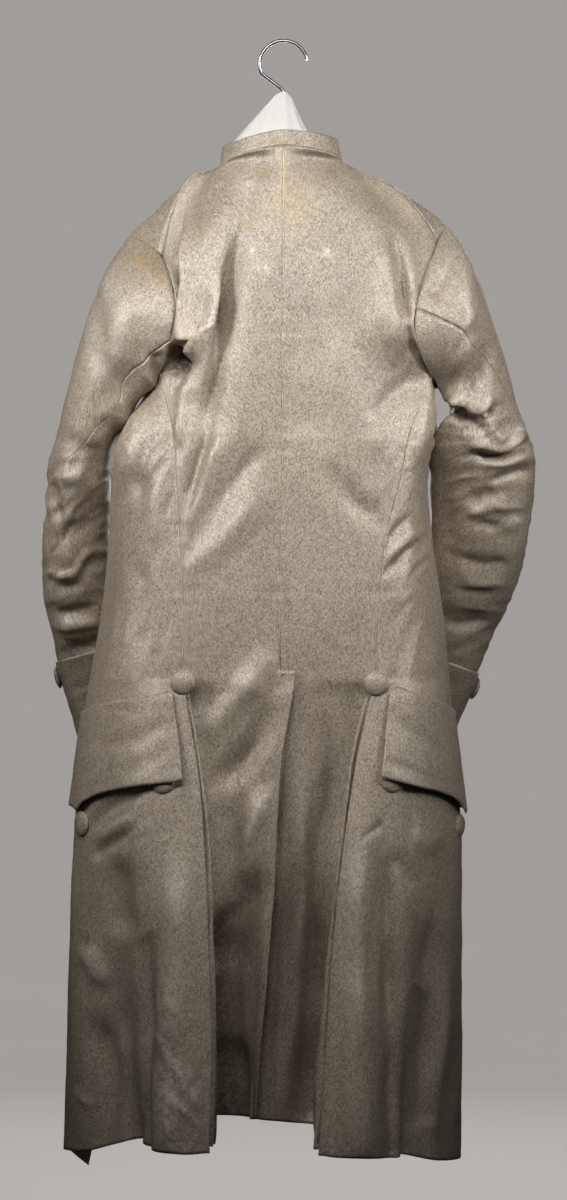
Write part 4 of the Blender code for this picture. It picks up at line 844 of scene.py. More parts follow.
def side_skirt_row(side, row, places):
    """A side skirt's section, from its cutaway edge to the pleat's outer fold."""
    size = dict(zip(SIDE_SKIRT_COLUMNS, row))
    level = size["level"]
    names = ("edge", "front", "corner", "side", "flank", "valley", "lobe", "crest")
    points = [(size["x_" + name], size["y_" + name], hem_height(level, z_hem))
              for name, z_hem in zip(names, HEM_SIDE[side])]
    return across(points + [front_pleat_start(side, level)], places)


def front_rows(side, levels, places):
    """A front's points at the wanted levels and places, in its side's table frame."""
    body_tables = FRONT_SHOULDER[side] + FRONT_SIDE[side]
    body = [shoulder_row(row, places) for row in FRONT_SHOULDER[side]]
    body += [side_row(row, places) for row in FRONT_SIDE[side]]
    skirt = [side_skirt_row(side, row, places) for row in SIDE_SKIRT[side]]
    return two_spans(body_tables, body, SIDE_SKIRT[side], skirt, levels)


def two_spans(body_table, body, skirt_table, skirt, levels):
    """Rows of the body and of the skirt at the wanted levels, straight between the two."""
    levels = np.asarray(levels, float)
    upper = at_levels([row[0] for row in body_table], body, levels)
    lower = at_levels([row[0] for row in skirt_table], skirt, levels)
    share = np.clip((HIP - levels) / (HIP - PLEAT_TOP), 0, 1).reshape(-1, 1, 1)
    return upper * (1 - share) + lower * share


def neck_point(side, share):
    """The back's neck seam, from the centre back at 0 to the shoulder seam at 1."""
    x_neck, y_neck, z_neck = FRONT_SHOULDER[side][0][1:4]
    angle = share * math.pi / 2
    return (x_neck * math.sin(angle), y_neck + (Y_NAPE - y_neck) * math.cos(angle),
            Z_NAPE + (z_neck - Z_NAPE) * math.sin(angle) ** NECK_RISE_POWER)


def back_top(side, places):
    """The back's top edge: half the neck seam, then the shoulder seam."""
    return np.array([neck_point(side, place / 2) if place <= 2
                     else shoulder_line(side, [(place - 2) / 2])[0] for place in places])


def half_section(points, places):
    """A back's section through its three points, crossing the centre back with no ridge."""
    centre, middle, end = np.array(points, float)
    mirrored = middle * (-1, 1, 1) + (2 * centre[0], 0, 0)
    shaped = across([mirrored, centre, middle, end], (1, 1.5, 2, 2.5, 3))
    return across(shaped, places)


def back_row(row, places):
    """A back's section above the hip."""
    size = dict(zip(BACK_COLUMNS, row))
    points = [[size[axis + "_" + name] for axis in "xyz"] for name in ("cb", "mid", "end")]
    return half_section(points, places)


def back_skirt_row(side, row, places):
    """A back skirt's section, from the vent to the pleat's root."""
    size = dict(zip(SKIRT_COLUMNS, row))
    level = size["level"]
    z_cb, z_mid, z_root = [hem_height(level, z_hem) for z_hem in HEM_BACK[side]]
    root = pleat(side, level)["root"]
    points = [(size["x_cb"], size["y_cb"], z_cb), (size["x_mid"], size["y_mid"], z_mid),
              (root[0], root[1], z_root)]
    return half_section(points, places)


def back_rows(side, levels, places):
    """A back's points at the wanted levels and places, in its side's table frame."""
    table = ((TOP_LEVEL,),) + BACK_BODY[side]
    body = [back_top(side, places)] + [back_row(row, places) for row in BACK_BODY[side]]
    skirt = [back_skirt_row(side, row, places) for row in BACK_SKIRT[side]]
    return two_spans(table, body, BACK_SKIRT[side], skirt, levels)


def lap_strip(level, start, shares):
    """The left back's lap over the vent, from the strip's inner line to its free edge."""
    levels, edges = zip(*LAP)
    x_edge = float(at_levels(levels, edges, [level])[0])
    end = np.array([x_edge, start[1] - LAP_LIFT, start[2]])
    return [start + (end - start) * t for t in shares]


def armhole_points(side, turns):
    """Points of the armhole's edge at turns about the arm, from the shoulder tip backward."""
    front = {row[0]: row[4:7] for row in FRONT_SHOULDER[side]}
    back = {row[0]: row[7:10] for row in BACK_BODY[side]}
    loop = [front[-118], front[-92], back[-150], back[-225], back[-300], front[-372],
            front[-350], front[-330], front[-300], front[-262], front[-220], front[-178],
            front[-150]]
    knots = list(ARMHOLE_TURNS)
    before = [value - 360 for value in knots[-3:]]
    after = [value + 360 for value in knots[:3]]
    return smooth(before + knots + after, loop[-3:] + loop + loop[:3], np.asarray(turns) % 360)


def sleeve_points(side, places, turns, stand_off=0.0):
    """Points of the sleeve's outer face at paired places and turns of the same shape."""
    shape = np.shape(turns)
    places = np.ravel(places)
    angles = np.radians(np.ravel(turns)).reshape(-1, 1)
    sections = [armhole_points(side, np.ravel(turns)) + SLEEVE_SET_OUT]
    for row in SLEEVES[side]:
        size = dict(zip(SLEEVE_COLUMNS, row))
        middle = np.array([(size["x_out"] + size["x_in"]) / 2, size["y_middle"],
                           (size["z_out"] + size["z_in"]) / 2])
        reach = np.array([size["x_out"] - size["x_in"], 0, size["z_out"] - size["z_in"]]) / 2
        reach *= 1 + stand_off / np.linalg.norm(reach)
        depth = np.array([0, -(size["half_depth"] + stand_off), 0])
        sections.append(middle + reach * np.cos(angles) + depth * np.sin(angles))
    sections = np.array(sections)
    slopes = np.gradient(sections, axis=0)
    index = np.clip(places.astype(int), 0, len(sections) - 2)
    each = np.arange(len(places))
    t = (places - index).reshape(-1, 1)
    found = hermite(sections[index, each], sections[index + 1, each],
                    slopes[index, each], slopes[index + 1, each], t)
    return found.reshape(shape + (3,))


def hind_seam(side, places):
    """Where the hind-arm seam lies round the sleeve at places along it."""
    turns = [HIND_SEAM_START[side]] + [row[6] for row in SLEEVES[side]]
    return across(turns, places)


def outward_of(grid, flip):
    """The outward direction at each point of a grid of rows."""
    down = np.gradient(grid, axis=0)
    along = np.gradient(grid, axis=1)
    normal = np.cross(down, along) if flip else np.cross(along, down)
    return normal / np.maximum(np.linalg.norm(normal, axis=2, keepdims=True), 1e-9)


def crumple_height(crumples, points):
    """How far a table of crumpled places raises each point, as seen along Y."""
    total = np.zeros(len(points))
    for number, (x, z, x_reach, z_reach, turn, height, spacing, length) in enumerate(crumples):
        away = points[:, [0, 2]] - (x, z)
        share = np.exp(-((np.abs(away) / (x_reach, z_reach)) ** CRUMPLE_FADE).sum(axis=1))
        near = np.flatnonzero(share > CRUMPLE_LEAST)
        angle = math.radians(turn)
        along = away[near] @ (math.cos(angle), math.sin(angle)) / length
        across_it = away[near] @ (-math.sin(angle), math.cos(angle)) / spacing
        depth = points[near, 1] / length
        depth += CRUMPLE_APART * number
        waves = [noise.noise(Vector(spot)) for spot in zip(along, across_it, depth)]
        total[near] += height * (CRUMPLE_LEVEL - CRUMPLE_DEPTH * np.abs(waves)) * share[near]
    return total


def crease_height(creases, points):
    """How far a table of creases raises each point, as seen along Y, and how far it slides it."""
    total = np.zeros(len(points))
    slide = np.zeros((len(points), 3))
    flat = points[:, [0, 2]]
    for number, (height, lean, left, right, start_open, end_open, through) in enumerate(creases):
        last = len(through) - 1
        line = across(through, np.linspace(0, last, CREASE_STEPS * last + 1))
        runs = np.diff(line, axis=0)
        lengths = np.linalg.norm(runs, axis=1)
        reached = np.concatenate([[0], np.cumsum(lengths)])
        best = np.full(len(flat), NOWHERE)
        side = np.zeros(len(flat))
        share = np.zeros(len(flat))
        rightward = np.zeros((len(flat), 2))
        reach = CREASE_REACH * max(left, right)
        low, high = line.min(axis=0) - reach, line.max(axis=0) + reach
        near = np.flatnonzero(((flat >= low) & (flat <= high)).all(axis=1))
        for corner, run, length, so_far in zip(line, runs, lengths, reached):
            away = flat[near] - corner
            t = np.clip(away @ run / length ** 2, 0, 1)
            distance = np.linalg.norm(away - t[:, None] * run, axis=1)
            nearer = distance < best[near]
            spot = near[nearer]
            best[spot] = distance[nearer]
            side[spot] = (run[0] * away[nearer, 1] - run[1] * away[nearer, 0])
            share[spot] = (so_far + t[nearer] * length) / reached[-1]
            rightward[spot] = np.array([run[1], -run[0]]) / length
        width = np.where(side > 0, left, right)
        opening = np.clip(share / CREASE_TAPER, 0, 1)
        closing = np.clip((1 - share) / CREASE_TAPER, 0, 1)
        taper = ((start_open + (1 - start_open) * opening * opening * (3 - 2 * opening))
                 * (end_open + (1 - end_open) * closing * closing * (3 - 2 * closing)))
        phase = share * reached[-1] / CREASE_WAVE + CREASE_PHASE * number
        uneven = 1 + CREASE_UNEVEN * np.sin(phase)
        strength = taper * uneven * np.exp(-(best / width) ** 2) * (best < NOWHERE)
        total += height * strength
        slide[:, [0, 2]] += lean * strength[:, None] * rightward
    return total, slide


# Low uneven drape of the whole coat. Columns: height, width of a wave, length of a wave
DRAPE = ((1.3, 48, 150), (0.7, 22, 60), (0.32, 10, 16))
SEAM_PUCKER = 0.5
SEAM_GROOVE = 0.15
SEAM_GROOVE_WIDTH = 1.5
SEAM_STIFFNESS = 3.5
PUCKER_WIDTH = 11.0
PUCKER_STEP = 13.0
PUCKER_WANDER = 37.0
PUCKER_DRIFT = 5
# How fast creases come in as the cloth turns to face the view that they are placed from
FACING_GAIN = 1.6
FACING_POWER = 0.7
# Distances from a seam: of cloth with none near, and of a turned edge, which has no groove
FAR = 1000.0
TURNED_EDGE = SEAM_GROOVE_WIDTH * 3


def drape_height(points):
    """Soft unevenness of hanging silk, the same for layers that lie on each other."""
    total = np.zeros(len(points))
    for height, width, length in DRAPE:
        scaled = points / (width, 2 * width, length)
        total += height * np.array([noise.noise(Vector(point)) for point in scaled])
    return total


def arc_lengths(grid, axis):
    """The run of each point along its row or its column, in millimetres."""
    steps = np.linalg.norm(np.diff(grid, axis=axis), axis=2)
    start = np.zeros_like(np.take(steps, [0], axis=axis))
    return np.concatenate([start, np.cumsum(steps, axis=axis)], axis=axis)


def away_from_column(grid, column):
    """How far each point lies along its row from one column."""
    run = arc_lengths(grid, 1)
    return np.abs(run - run[:, [column]])


def shaped(key, grid, normal, near, top, stiff_sides=True):
    """A grid with its piece's creases, its drape and the puckers beside its seams, and its marks:
    rubbed wear with a painted highlight on ridges and painted shade in troughs.
    """
    points = grid.reshape(-1, 3)
    facing = normal.reshape(-1, 3)[:, 1]
    behind = np.clip(-facing * FACING_GAIN, 0, 1) ** FACING_POWER
    before = np.clip(facing * FACING_GAIN, 0, 1) ** FACING_POWER
    away = np.minimum(near, top).reshape(-1)
    creased, slide = crease_height(CREASES_BEHIND.get(key, ()), points)
    creased_before, slide_before = crease_height(CREASES_BEFORE.get(key, ()), points)
    creased = creased * behind + creased_before * before
    creased += crumple_height(CRUMPLES.get(key, ()), points)
    slide = slide * behind[:, None] + slide_before * before[:, None]
    stiff = away if stiff_sides else top.reshape(-1)
    softness = 1 - np.exp(-(stiff / SEAM_STIFFNESS) ** 2)
    height = creased * softness + drape_height(points)
    z = points[:, 2]
    wander = np.array([noise.noise(Vector((value / PUCKER_WANDER, 0, 0))) for value in z])
    pucker = np.sin(z / PUCKER_STEP * 2 * math.pi + PUCKER_DRIFT * wander) * (0.5 + wander)
    height += SEAM_PUCKER * pucker * np.exp(-away / PUCKER_WIDTH)
    height -= SEAM_GROOVE * np.exp(-(away / SEAM_GROOVE_WIDTH) ** 2)
    marks = mark_depths(points, behind)
    # Ridges pale: rubbed wear and a painted highlight
    marks[:, 0] += RUB_AND_HIGHLIGHT_OF_RIDGE * np.clip(creased, 0, None)
    # Troughs darken: painted shade
    marks[:, 2] += SHADE_OF_TROUGH * np.clip(-creased, 0, None)
    moved = points + normal.reshape(-1, 3) * height[:, None] + slide * softness[:, None]
    return moved.reshape(grid.shape), marks


def mark_depths(points, behind):
    """How pale, stained or soiled each point is, with painted shade among the soiled places, and a
    fourth value of one.
    """
    depths = np.zeros((len(points), 4))
    depths[:, 3] = 1
    for kind, x, z, x_reach, z_reach, depth in MARKS:
        away = ((points[:, 0] - x) / x_reach) ** 2 + ((points[:, 2] - z) / z_reach) ** 2
        depths[:, MARK_KINDS.index(kind)] += depth * np.exp(-away) * behind
    return depths


def linked(name, data):
    """A new object in the scene from its mesh, curve, camera or light."""
    made = bpy.data.objects.new(name, data)
    bpy.context.scene.collection.objects.link(made)
    return made


def ring_faces(rings, count, inward=False):
    """Faces between closed rings of points, turned outward or inward."""
    faces = []
    for ring in range(rings - 1):
        here, there = ring * count, (ring + 1) * count
        for step in range(count):
            after = (step + 1) % count
            face = (here + step, there + step, there + after, here + after)
            faces.append((face[0],) + face[:0:-1] if inward else face)
    return faces


def piece(name, grid, flip, looks, wall, near, top, shown=None, marks=None, loop=False):
    """A cloth piece from its grid of points, with its wall, two UV maps and its marks."""
    rows, columns = grid.shape[:2]
    number = np.arange(rows * columns).reshape(rows, columns)
    corners = [number[:-1, :-1], number[:-1, 1:], number[1:, 1:], number[1:, :-1]]
    faces = np.stack(corners[::-1] if flip else corners, axis=-1).reshape(-1, 4)
    if shown is not None:
        faces = faces[shown.reshape(-1)[faces].all(axis=1)]
    used, faces = np.unique(faces, return_inverse=True)
    faces = faces.reshape(-1, 4)
    across_run = arc_lengths(grid, 1)
    across_run -= across_run[:, [columns // 2]]
    weave = np.stack([across_run, -arc_lengths(grid, 0)], axis=-1).reshape(-1, 2)[used]
    seams = np.stack([near, top], axis=-1).reshape(-1, 2)[used]
    mesh = bpy.data.meshes.new(name)
    mesh.from_pydata(grid.reshape(-1, 3)[used] * MM, [], faces.tolist())
    for title, values in (("weave", weave), ("seams", seams)):
        layer = mesh.uv_layers.new(name=title)
        layer.data.foreach_set("uv", values[faces.reshape(-1)].astype(np.float32).reshape(-1))
    if marks is not None:
        layer = mesh.color_attributes.new("marks", "FLOAT_COLOR", "POINT")
        layer.data.foreach_set("color", marks[used].astype(np.float32).reshape(-1))
    mesh.shade_smooth()
    if loop:
        weld(mesh)
    for look in looks:
        mesh.materials.append(look)
    made = linked(name, mesh)
    shell = made.modifiers.new("wall", "SOLIDIFY")
    shell.thickness = wall * MM
    shell.offset = -1
    shell.material_offset = len(looks) - 1
    return made


def weld(mesh):
    """Joins the first and last columns of a tube."""
    build = bmesh.new()
    build.from_mesh(mesh)
    bmesh.ops.remove_doubles(build, verts=build.verts, dist=1e-6)
    build.to_mesh(mesh)
    build.free()


def solids_of(name):
    """The solids of a panel: its body and its skirt."""
    return [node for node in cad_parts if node.endswith(name)]


def settle(made, slot, *nodes):
    """Gives a finished piece its body and hides the solids that it stands for. Its slot is not
    used.
    """
    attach(made, "root")
    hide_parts(*nodes)
    return made


def span_levels(marks, step):
    """Levels from the first mark to the last, near enough a step apart, with every mark in."""
    levels = [marks[0]]
    for upper, lower in zip(marks, marks[1:]):
        count = max(int(round((upper - lower) / step)), 1)
        levels += list(np.linspace(upper, lower, count + 1))[1:]
    return levels


def with_layers(body, levels, first_level, layer, width):
    """A body grid with layer columns after it below a level, and which points have cloth."""
    rows, shown = [], []
    for level, row in zip(levels, body):
        has_layer = level <= first_level
        added = layer(level) if has_layer else [row[-1]] * width
        rows.append(np.vstack([row, np.array(added)]))
        shown.append([True] * len(row) + [has_layer] * width)
    return np.array(rows), np.array(shown)


def steady_normals(grid, flip, shown):
    """Outward directions, taken from the row below where a layer starts."""
    normal = outward_of(grid, flip)
    for row in range(len(grid) - 2, 0, -1):
        starts = shown[row] & ~shown[row - 1]
        normal[row, starts] = normal[row + 1, starts]
    return normal


def back_panel(side):
    """One back: body, skirt, the lap or underlap at the vent, and its pleat layers."""
    name = "back_" + side
    levels = span_levels((TOP_LEVEL, VENT_TOP, HIP, PLEAT_TOP, HEM), MESH_STEP)
    places = np.linspace(0, 4, BACK_ROW_POINTS)
    body = back_rows(side, levels, places)
    body = on_side_seam(side, body, levels, BACK_ARMHOLE_FOOT)
    width = 2 * len(LAYER_SHARES) - 1 + len(FOLD_TURNS)
    grid, shown = with_layers(body, levels, PLEAT_TOP,
                              lambda level: back_pleat(side, level), width)
    seam_column = 0
    if side == "left":
        shares = np.linspace(0, 1, LAP_POINTS)[1:]
        laps = np.array([lap_strip(level, row[0], shares)[::-1] if level <= VENT_TOP
                         else [row[0]] * len(shares) for level, row in zip(levels, body)])
        grid = np.concatenate([laps, grid], axis=1)
        has_lap = np.array([[level <= VENT_TOP] * len(shares) for level in levels])
        shown = np.concatenate([has_lap, shown], axis=1)
        seam_column = len(shares)
    grid = grid * (SIDES[side], 1, 1)
    level_of = np.array(levels).reshape(-1, 1)
    near = np.where(level_of >= VENT_TOP, away_from_column(grid, seam_column), FAR)
    side_way = away_from_column(grid, seam_column + len(places) - 1)
    near = np.minimum(near, np.where(level_of >= HIP, side_way, FAR))
    top = arc_lengths(grid, 0)
    flip = side == "right"
    normal = steady_normals(grid, flip, shown)
    grid, marks = shaped(name, grid, normal, near, top)
    if side == "left":
        first = levels.index(VENT_TOP)
        inside = int(round(len(shares) * VENT_STITCH_PLACE))
        stitches("vent_stitches", grid[first + 3:, inside], normal[first + 3:, inside],
                 *VENT_STITCH)
        stitches("vent_bar", grid[first + 1, :len(shares)], normal[first + 1, :len(shares)],
                 *VENT_BAR_STITCH)
    made = piece(name + "_silk", grid, flip, (silk, lining), WALL, near, top, shown, marks)
    return settle(made, "silk", *solids_of(name))


def front_panel(side):
    """One front: from the neck round the armhole, the side and its skirt, to the pleat seam."""
    name = "front_" + side
    levels = span_levels((SHOULDER_LEVEL, NECK_CORNER, HIP, PLEAT_TOP, HEM), MESH_STEP)
    places = np.linspace(0, 8, FRONT_ROW_POINTS)
    body = front_rows(side, levels, places)
    body = on_side_seam(side, body, levels, FRONT_ARMHOLE_FOOT)
    width = len(LAYER_SHARES) + len(FOLD_TURNS) - 1
    grid, shown = with_layers(body, levels, PLEAT_TOP,
                              lambda level: front_pleat(side, level), width)
    grid = grid * (SIDES[side], 1, 1)
    level_of = np.array(levels).reshape(-1, 1)
    near = np.where(level_of >= HIP, away_from_column(grid, len(places) - 1), FAR)
    top = arc_lengths(grid, 0)
    flip = side == "left"
    normal = steady_normals(grid, flip, shown)
    grid, marks = shaped(name, grid, normal, near, top)
    made = piece(name + "_silk", grid, flip, (silk, lining), WALL, near, top, shown, marks)
    return settle(made, "silk", *solids_of(name))


def tube_normals(grid, flip):
    """Outward directions round a tube whose first and last columns are one."""
    wide = np.concatenate([grid[:, -2:-1], grid, grid[:, 1:2]], axis=1)
    return outward_of(wide, flip)[:, 1:-1]


def sleeve(side):
    """Both halves of a sleeve, shaped as one tube and parted at its two seams."""
    places = np.linspace(0, SLEEVE_END, SLEEVE_ROWS)
    hind = hind_seam(side, places)
    under_shares = np.linspace(0, 1, UNDER_SLEEVE_POINTS)
    upper_shares = np.linspace(0, 1, UPPER_SLEEVE_POINTS)
    under = hind[:, None] + (FOREARM_SEAM - hind)[:, None] * under_shares
    upper = FOREARM_SEAM + (hind + 360 - FOREARM_SEAM)[:, None] * upper_shares
    turns = np.concatenate([under, upper[:, 1:]], axis=1)
    grid = sleeve_points(side, np.repeat(places[:, None], turns.shape[1], axis=1), turns)
    grid = grid * (SIDES[side], 1, 1)
    seam = under.shape[1] - 1
    flip = side == "left"
    near = np.minimum(away_from_column(grid, 0), away_from_column(grid, seam))
    near = np.minimum(near, away_from_column(grid, turns.shape[1] - 1))
    top = arc_lengths(grid, 0)
    grid, marks = shaped("sleeve_" + side, grid, tube_normals(grid, flip), near, top,
                         stiff_sides=False)
    marks = marks.reshape(grid.shape[:2] + (4,))
    for half, columns in (("under", slice(0, seam + 1)), ("upper", slice(seam, None))):
        name = "sleeve_%s_%s" % (side, half)
        made = piece(name + "_silk", grid[:, columns], flip, (silk, lining), WALL,
                     near[:, columns], top[:, columns], marks=marks[:, columns].reshape(-1, 4))
        settle(made, "silk", name)


def cuff(side):
    """A closed cuff round the sleeve's end, standing just off it."""
    name = "cuff_" + side
    places = np.linspace(CUFF_START, SLEEVE_END, CUFF_ROWS)
    turns = np.repeat(np.linspace(0, 360, CUFF_POINTS)[None, :], len(places), axis=0)
    places = np.repeat(places[:, None], CUFF_POINTS, axis=1)
    grid = sleeve_points(side, places, turns, CUFF_STAND_OFF)
    grid = grid * (SIDES[side], 1, 1)
    flip = side == "left"
    near = np.full(grid.shape[:2], FAR)
    run = arc_lengths(grid, 0)
    top = np.minimum(run, run[[-1]] - run) + TURNED_EDGE
    grid, marks = shaped(name, grid, tube_normals(grid, flip), near, top)
    made = piece(name + "_silk", grid, flip, (silk, lining), WALL, near, top,
                 marks=marks, loop=True)
    return settle(made, "silk", name)


def collar_line(side):
    """The neck seam of one side, from the centre back round to the front edge."""
    back = [neck_point(side, share) for share in np.linspace(0, 1, COLLAR_BACK_POINTS)]
    levels = np.linspace(SHOULDER_LEVEL, NECK_CORNER, COLLAR_FRONT_POINTS)[1:]
    front = front_rows(side, levels, [0])[:, 0]
    shares = np.concatenate([np.linspace(0, 0.5, COLLAR_BACK_POINTS),
                             np.linspace(0.5, 1, COLLAR_FRONT_POINTS)[1:]])
    return np.array(back + list(front)), shares


def collar_piece():
    """The stand collar, from one front edge round the neck to the other."""
    base, lift = [], []
    for side in ("left", "right"):
        line, shares = collar_line(side)
        places, heights, leans = zip(*COLLAR[side])
        height = np.interp(shares, places, heights)
        lean = np.interp(shares, places, leans)
        inward = np.array([0, Y_NECK_MIDDLE, 0]) - line
        inward[:, 2] = 0
        inward /= np.linalg.norm(inward, axis=1, keepdims=True)
        low = line + (0, 0, COLLAR_SEAM_GAP)
        rise = inward * lean[:, None]
        rise[:, 2] = height
        order = slice(None, None, -1) if side == "left" else slice(1, None)
        base.append((low * (SIDES[side], 1, 1))[order])
        lift.append((rise * (SIDES[side], 1, 1))[order])
    base, lift = np.concatenate(base), np.concatenate(lift)
    grid = np.array([base + lift * share for share in np.linspace(1, 0, COLLAR_ROWS)])
    near = np.full(grid.shape[:2], FAR)
    run = arc_lengths(grid, 0)
    top = run[[-1]] - run
    grid, marks = shaped("collar", grid, outward_of(grid, True), near, top)
    made = piece("collar_silk", grid, True, (silk, lining), COLLAR_WALL, near, top, marks=marks)
    return settle(made, "silk", "collar")


def stitches(name, line, outward, step, length, width):
    """A row of short threads lying on the cloth along a line of its points."""
    along = np.concatenate([[0], np.cumsum(np.linalg.norm(np.diff(line, axis=0), axis=1))])
    points, faces = [], []
    for number, start in enumerate(np.arange(step / 2, along[-1] - step / 2, step)):
        start += STITCH_STRAY * step * math.sin(STITCH_STRAY_TURN * number)
        ends = [np.array([np.interp(start + share * length, along, line[:, axis])
                          for axis in range(3)]) for share in (0, 0.5, 1)]
        away = np.array([np.interp(start, along, outward[:, axis]) for axis in range(3)])
        across_way = np.cross(ends[2] - ends[0], away)
        across_way *= width / 2 / np.linalg.norm(across_way)
        first = len(points)
        points += [ends[0] - away * width / 4, ends[2] - away * width / 4,
                   ends[1] + across_way, ends[1] + away * width * STITCH_HEIGHT,
                   ends[1] - across_way]
        faces += [(first, first + 2, first + 3), (first, first + 3, first + 4),
                  (first + 1, first + 3, first + 2), (first + 1, first + 4, first + 3)]
    mesh = bpy.data.meshes.new(name)
    mesh.from_pydata(np.array(points) * MM, [], faces)
    mesh.materials.append(thread)
    made = linked(name, mesh)
    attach(made, "root")
    return made


def flap_edges(side, places):
    """Levels of a flap's top and bottom edges at places round the skirt."""
    front, rear = FLAP_TOP[side]
    share = (places - FLAP_FRONT) / (FLAP_REAR - FLAP_FRONT)
    top = front + (rear - front) * share
    point = FLAP_POINT_DROP * np.exp(-np.abs(places - FLAP_POINT_AT[side]) / FLAP_POINT_WIDTH)
    corner = (FLAP_CORNER_SHARE * FLAP_POINT_DROP
              * np.exp(-(places - FLAP_FRONT) / FLAP_POINT_WIDTH))
    return top, top - FLAP_DROP - point - corner


def flap(side):
    """A scalloped pocket flap, made from the skirt's own points moved outward."""
    name = "flap_" + side
    places = np.linspace(FLAP_FRONT, FLAP_REAR, FLAP_POINTS)
    highest = max(FLAP_TOP[side]) + FLAP_ROOM_ABOVE
    lowest = min(FLAP_TOP[side]) - FLAP_DROP - FLAP_ROOM_BELOW
    levels = np.linspace(highest, lowest, FLAP_LEVELS)
    under = front_rows(side, levels, places)
    outward = outward_of(under, False)
    top, bottom = flap_edges(side, places)
    near, far = FLAP_STAND_OFF
    rows = []
    for share in np.linspace(0, 1, FLAP_ROWS):
        wanted = top + (bottom - top) * share
        off = FLAP_WALL + near + (far - near) * share ** FLAP_LIFT_CURVE
        index = (wanted - levels[0]) / (levels[1] - levels[0])
        low = np.floor(index).astype(int)
        t = (index - low)[:, None]
        each = np.arange(len(places))
        point = under[low, each] * (1 - t) + under[low + 1, each] * t
        away = outward[low, each] * (1 - t) + outward[low + 1, each] * t
        rows.append(point + away * off)
    grid = np.array(rows) * (SIDES[side], 1, 1)
    flip = side == "left"
    run_down, run_across = arc_lengths(grid, 0), arc_lengths(grid, 1)
    near = np.minimum(run_across, run_across[:, [-1]] - run_across)
    near = np.minimum(near, run_down[[-1]] - run_down) + TURNED_EDGE
    top = run_down
    grid, marks = shaped(name, grid, outward_of(grid, flip), near, top)
    made = piece(name + "_silk", grid, flip, (silk, lining), FLAP_WALL, near, top, marks=marks)
    return settle(made, "silk", name)


def button_facts(node):
    """The middle of a button's flat back and its outward direction, from its solid."""
    corners = np.empty(3 * len(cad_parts[node].data.vertices))
    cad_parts[node].data.vertices.foreach_get("co", corners)
    corners = corners.reshape(-1, 3) / MM
    middle = corners.mean(axis=0)
    axis = np.linalg.svd(corners - middle)[2][2]
    along = (corners - middle) @ axis
    radius = np.linalg.norm(corners - middle - along[:, None] * axis, axis=1)
    widest = along[radius > radius.max() - 0.5].mean()
    if widest > (along.min() + along.max()) / 2:
        axis, along = -axis, -along
    return middle + axis * along.min(), axis


def button(node, seed):
    """One covered button: a soft dome with silk drawn round its rim."""
    seat, axis = button_facts(node)
    rings = across(BUTTON_PROFILE, np.linspace(0, len(BUTTON_PROFILE) - 1, BUTTON_RINGS))
    turns = np.linspace(0, 2 * math.pi, BUTTON_TURNS + 1)[:-1]
    rows = []
    for share, height in rings:
        wave = (1 + BUTTON_WAVE * np.sin(turns * 3 + seed)
                + BUTTON_RIPPLE * np.sin(turns * 7 + 2 * seed))
        radius = share * BUTTON_RADIUS * wave
        dent = BUTTON_DENT * np.sin(turns * 2 + seed) * share
        rows.append(np.column_stack([radius * np.cos(turns), radius * np.sin(turns),
                                     np.full(len(turns), height) + dent]))
    grid = np.array(rows)
    turn = Vector(axis).to_track_quat("Z", "Y").to_matrix()
    points = grid.reshape(-1, 3) @ np.array(turn).T + seat
    faces = ring_faces(len(rings), len(turns))
    mesh = bpy.data.meshes.new(node + "_look")
    mesh.from_pydata(points * MM, [], faces)
    layer = mesh.uv_layers.new(name="weave")
    flat = grid.reshape(-1, 3)[np.array(faces).reshape(-1)][:, :2]
    layer.data.foreach_set("uv", flat.astype(np.float32).reshape(-1))
    mesh.shade_smooth()
    weld(mesh)
    mesh.materials.append(button_silk)
    return settle(linked(node + "_look", mesh), "button_silk", node)


def hanger_hook():
    """The wire hook: most of a ring, then a leg down into the padding."""
    curve = bpy.data.curves.new("hook_wire", "CURVE")
    curve.dimensions = "3D"
    curve.bevel_depth = WIRE_RADIUS * MM
    curve.bevel_resolution = 5
    curve.use_fill_caps = True
    middle = WIRE_RADIUS - HOOK_RADIUS
    turns = np.radians(np.linspace(HOOK_END_TURN, HOOK_LEG_TURN, HOOK_RING_POINTS))
    ring = [(HOOK_RADIUS * math.cos(turn), 0, middle + HOOK_RADIUS * math.sin(turn))
            for turn in turns]
    places = np.linspace(0, len(HOOK_LEG), HOOK_LEG_POINTS)
    leg = list(across((ring[-1],) + HOOK_LEG, places))[1:]
    points = ring + leg
    line = curve.splines.new("POLY")
    line.points.add(len(points) - 1)
    for spot, point in zip(line.points, points):
        spot.co = (*(value * MM for value in point), 1)
    curve.materials.append(steel)
    return settle(linked("hook_wire", curve), "bright_wire", "hanger_hook")


def hanger_pad():
    """The hanger's padded arms: one closed form of oval sections under the shoulders."""
    sections = across(PAD, np.linspace(0, len(PAD) - 1, PAD_SECTIONS))
    turns = np.linspace(0, 2 * math.pi, PAD_TURNS + 1)
    rows = []
    for x, z_top, half_depth, half_height in sections:
        rows.append([(x, PAD_Y + half_depth * math.cos(turn),
                      z_top - half_height + half_height * math.sin(turn)) for turn in turns])
    grid = np.array(rows)
    closing = [np.repeat(grid[[end]].mean(axis=1, keepdims=True), grid.shape[1], axis=1)
               for end in (0, -1)]
    grid = np.concatenate([closing[0], grid, closing[1]], axis=0)
    heights = [noise.noise(Vector(point) / PAD_LUMP_SIZE) for point in grid.reshape(-1, 3)]
    heights = np.array(heights).reshape(grid.shape[:2] + (1,))
    middle = grid.mean(axis=1, keepdims=True)
    grid = middle + (grid - middle) * (1 + PAD_LUMP * heights)
    far = np.full(grid.shape[:2], FAR)
    made = piece("pad_cover", grid, False, (cotton,), 0, far, far, loop=True)
    made.modifiers.clear()
    settle(made, "white_cotton", "hanger_pad")
    return made


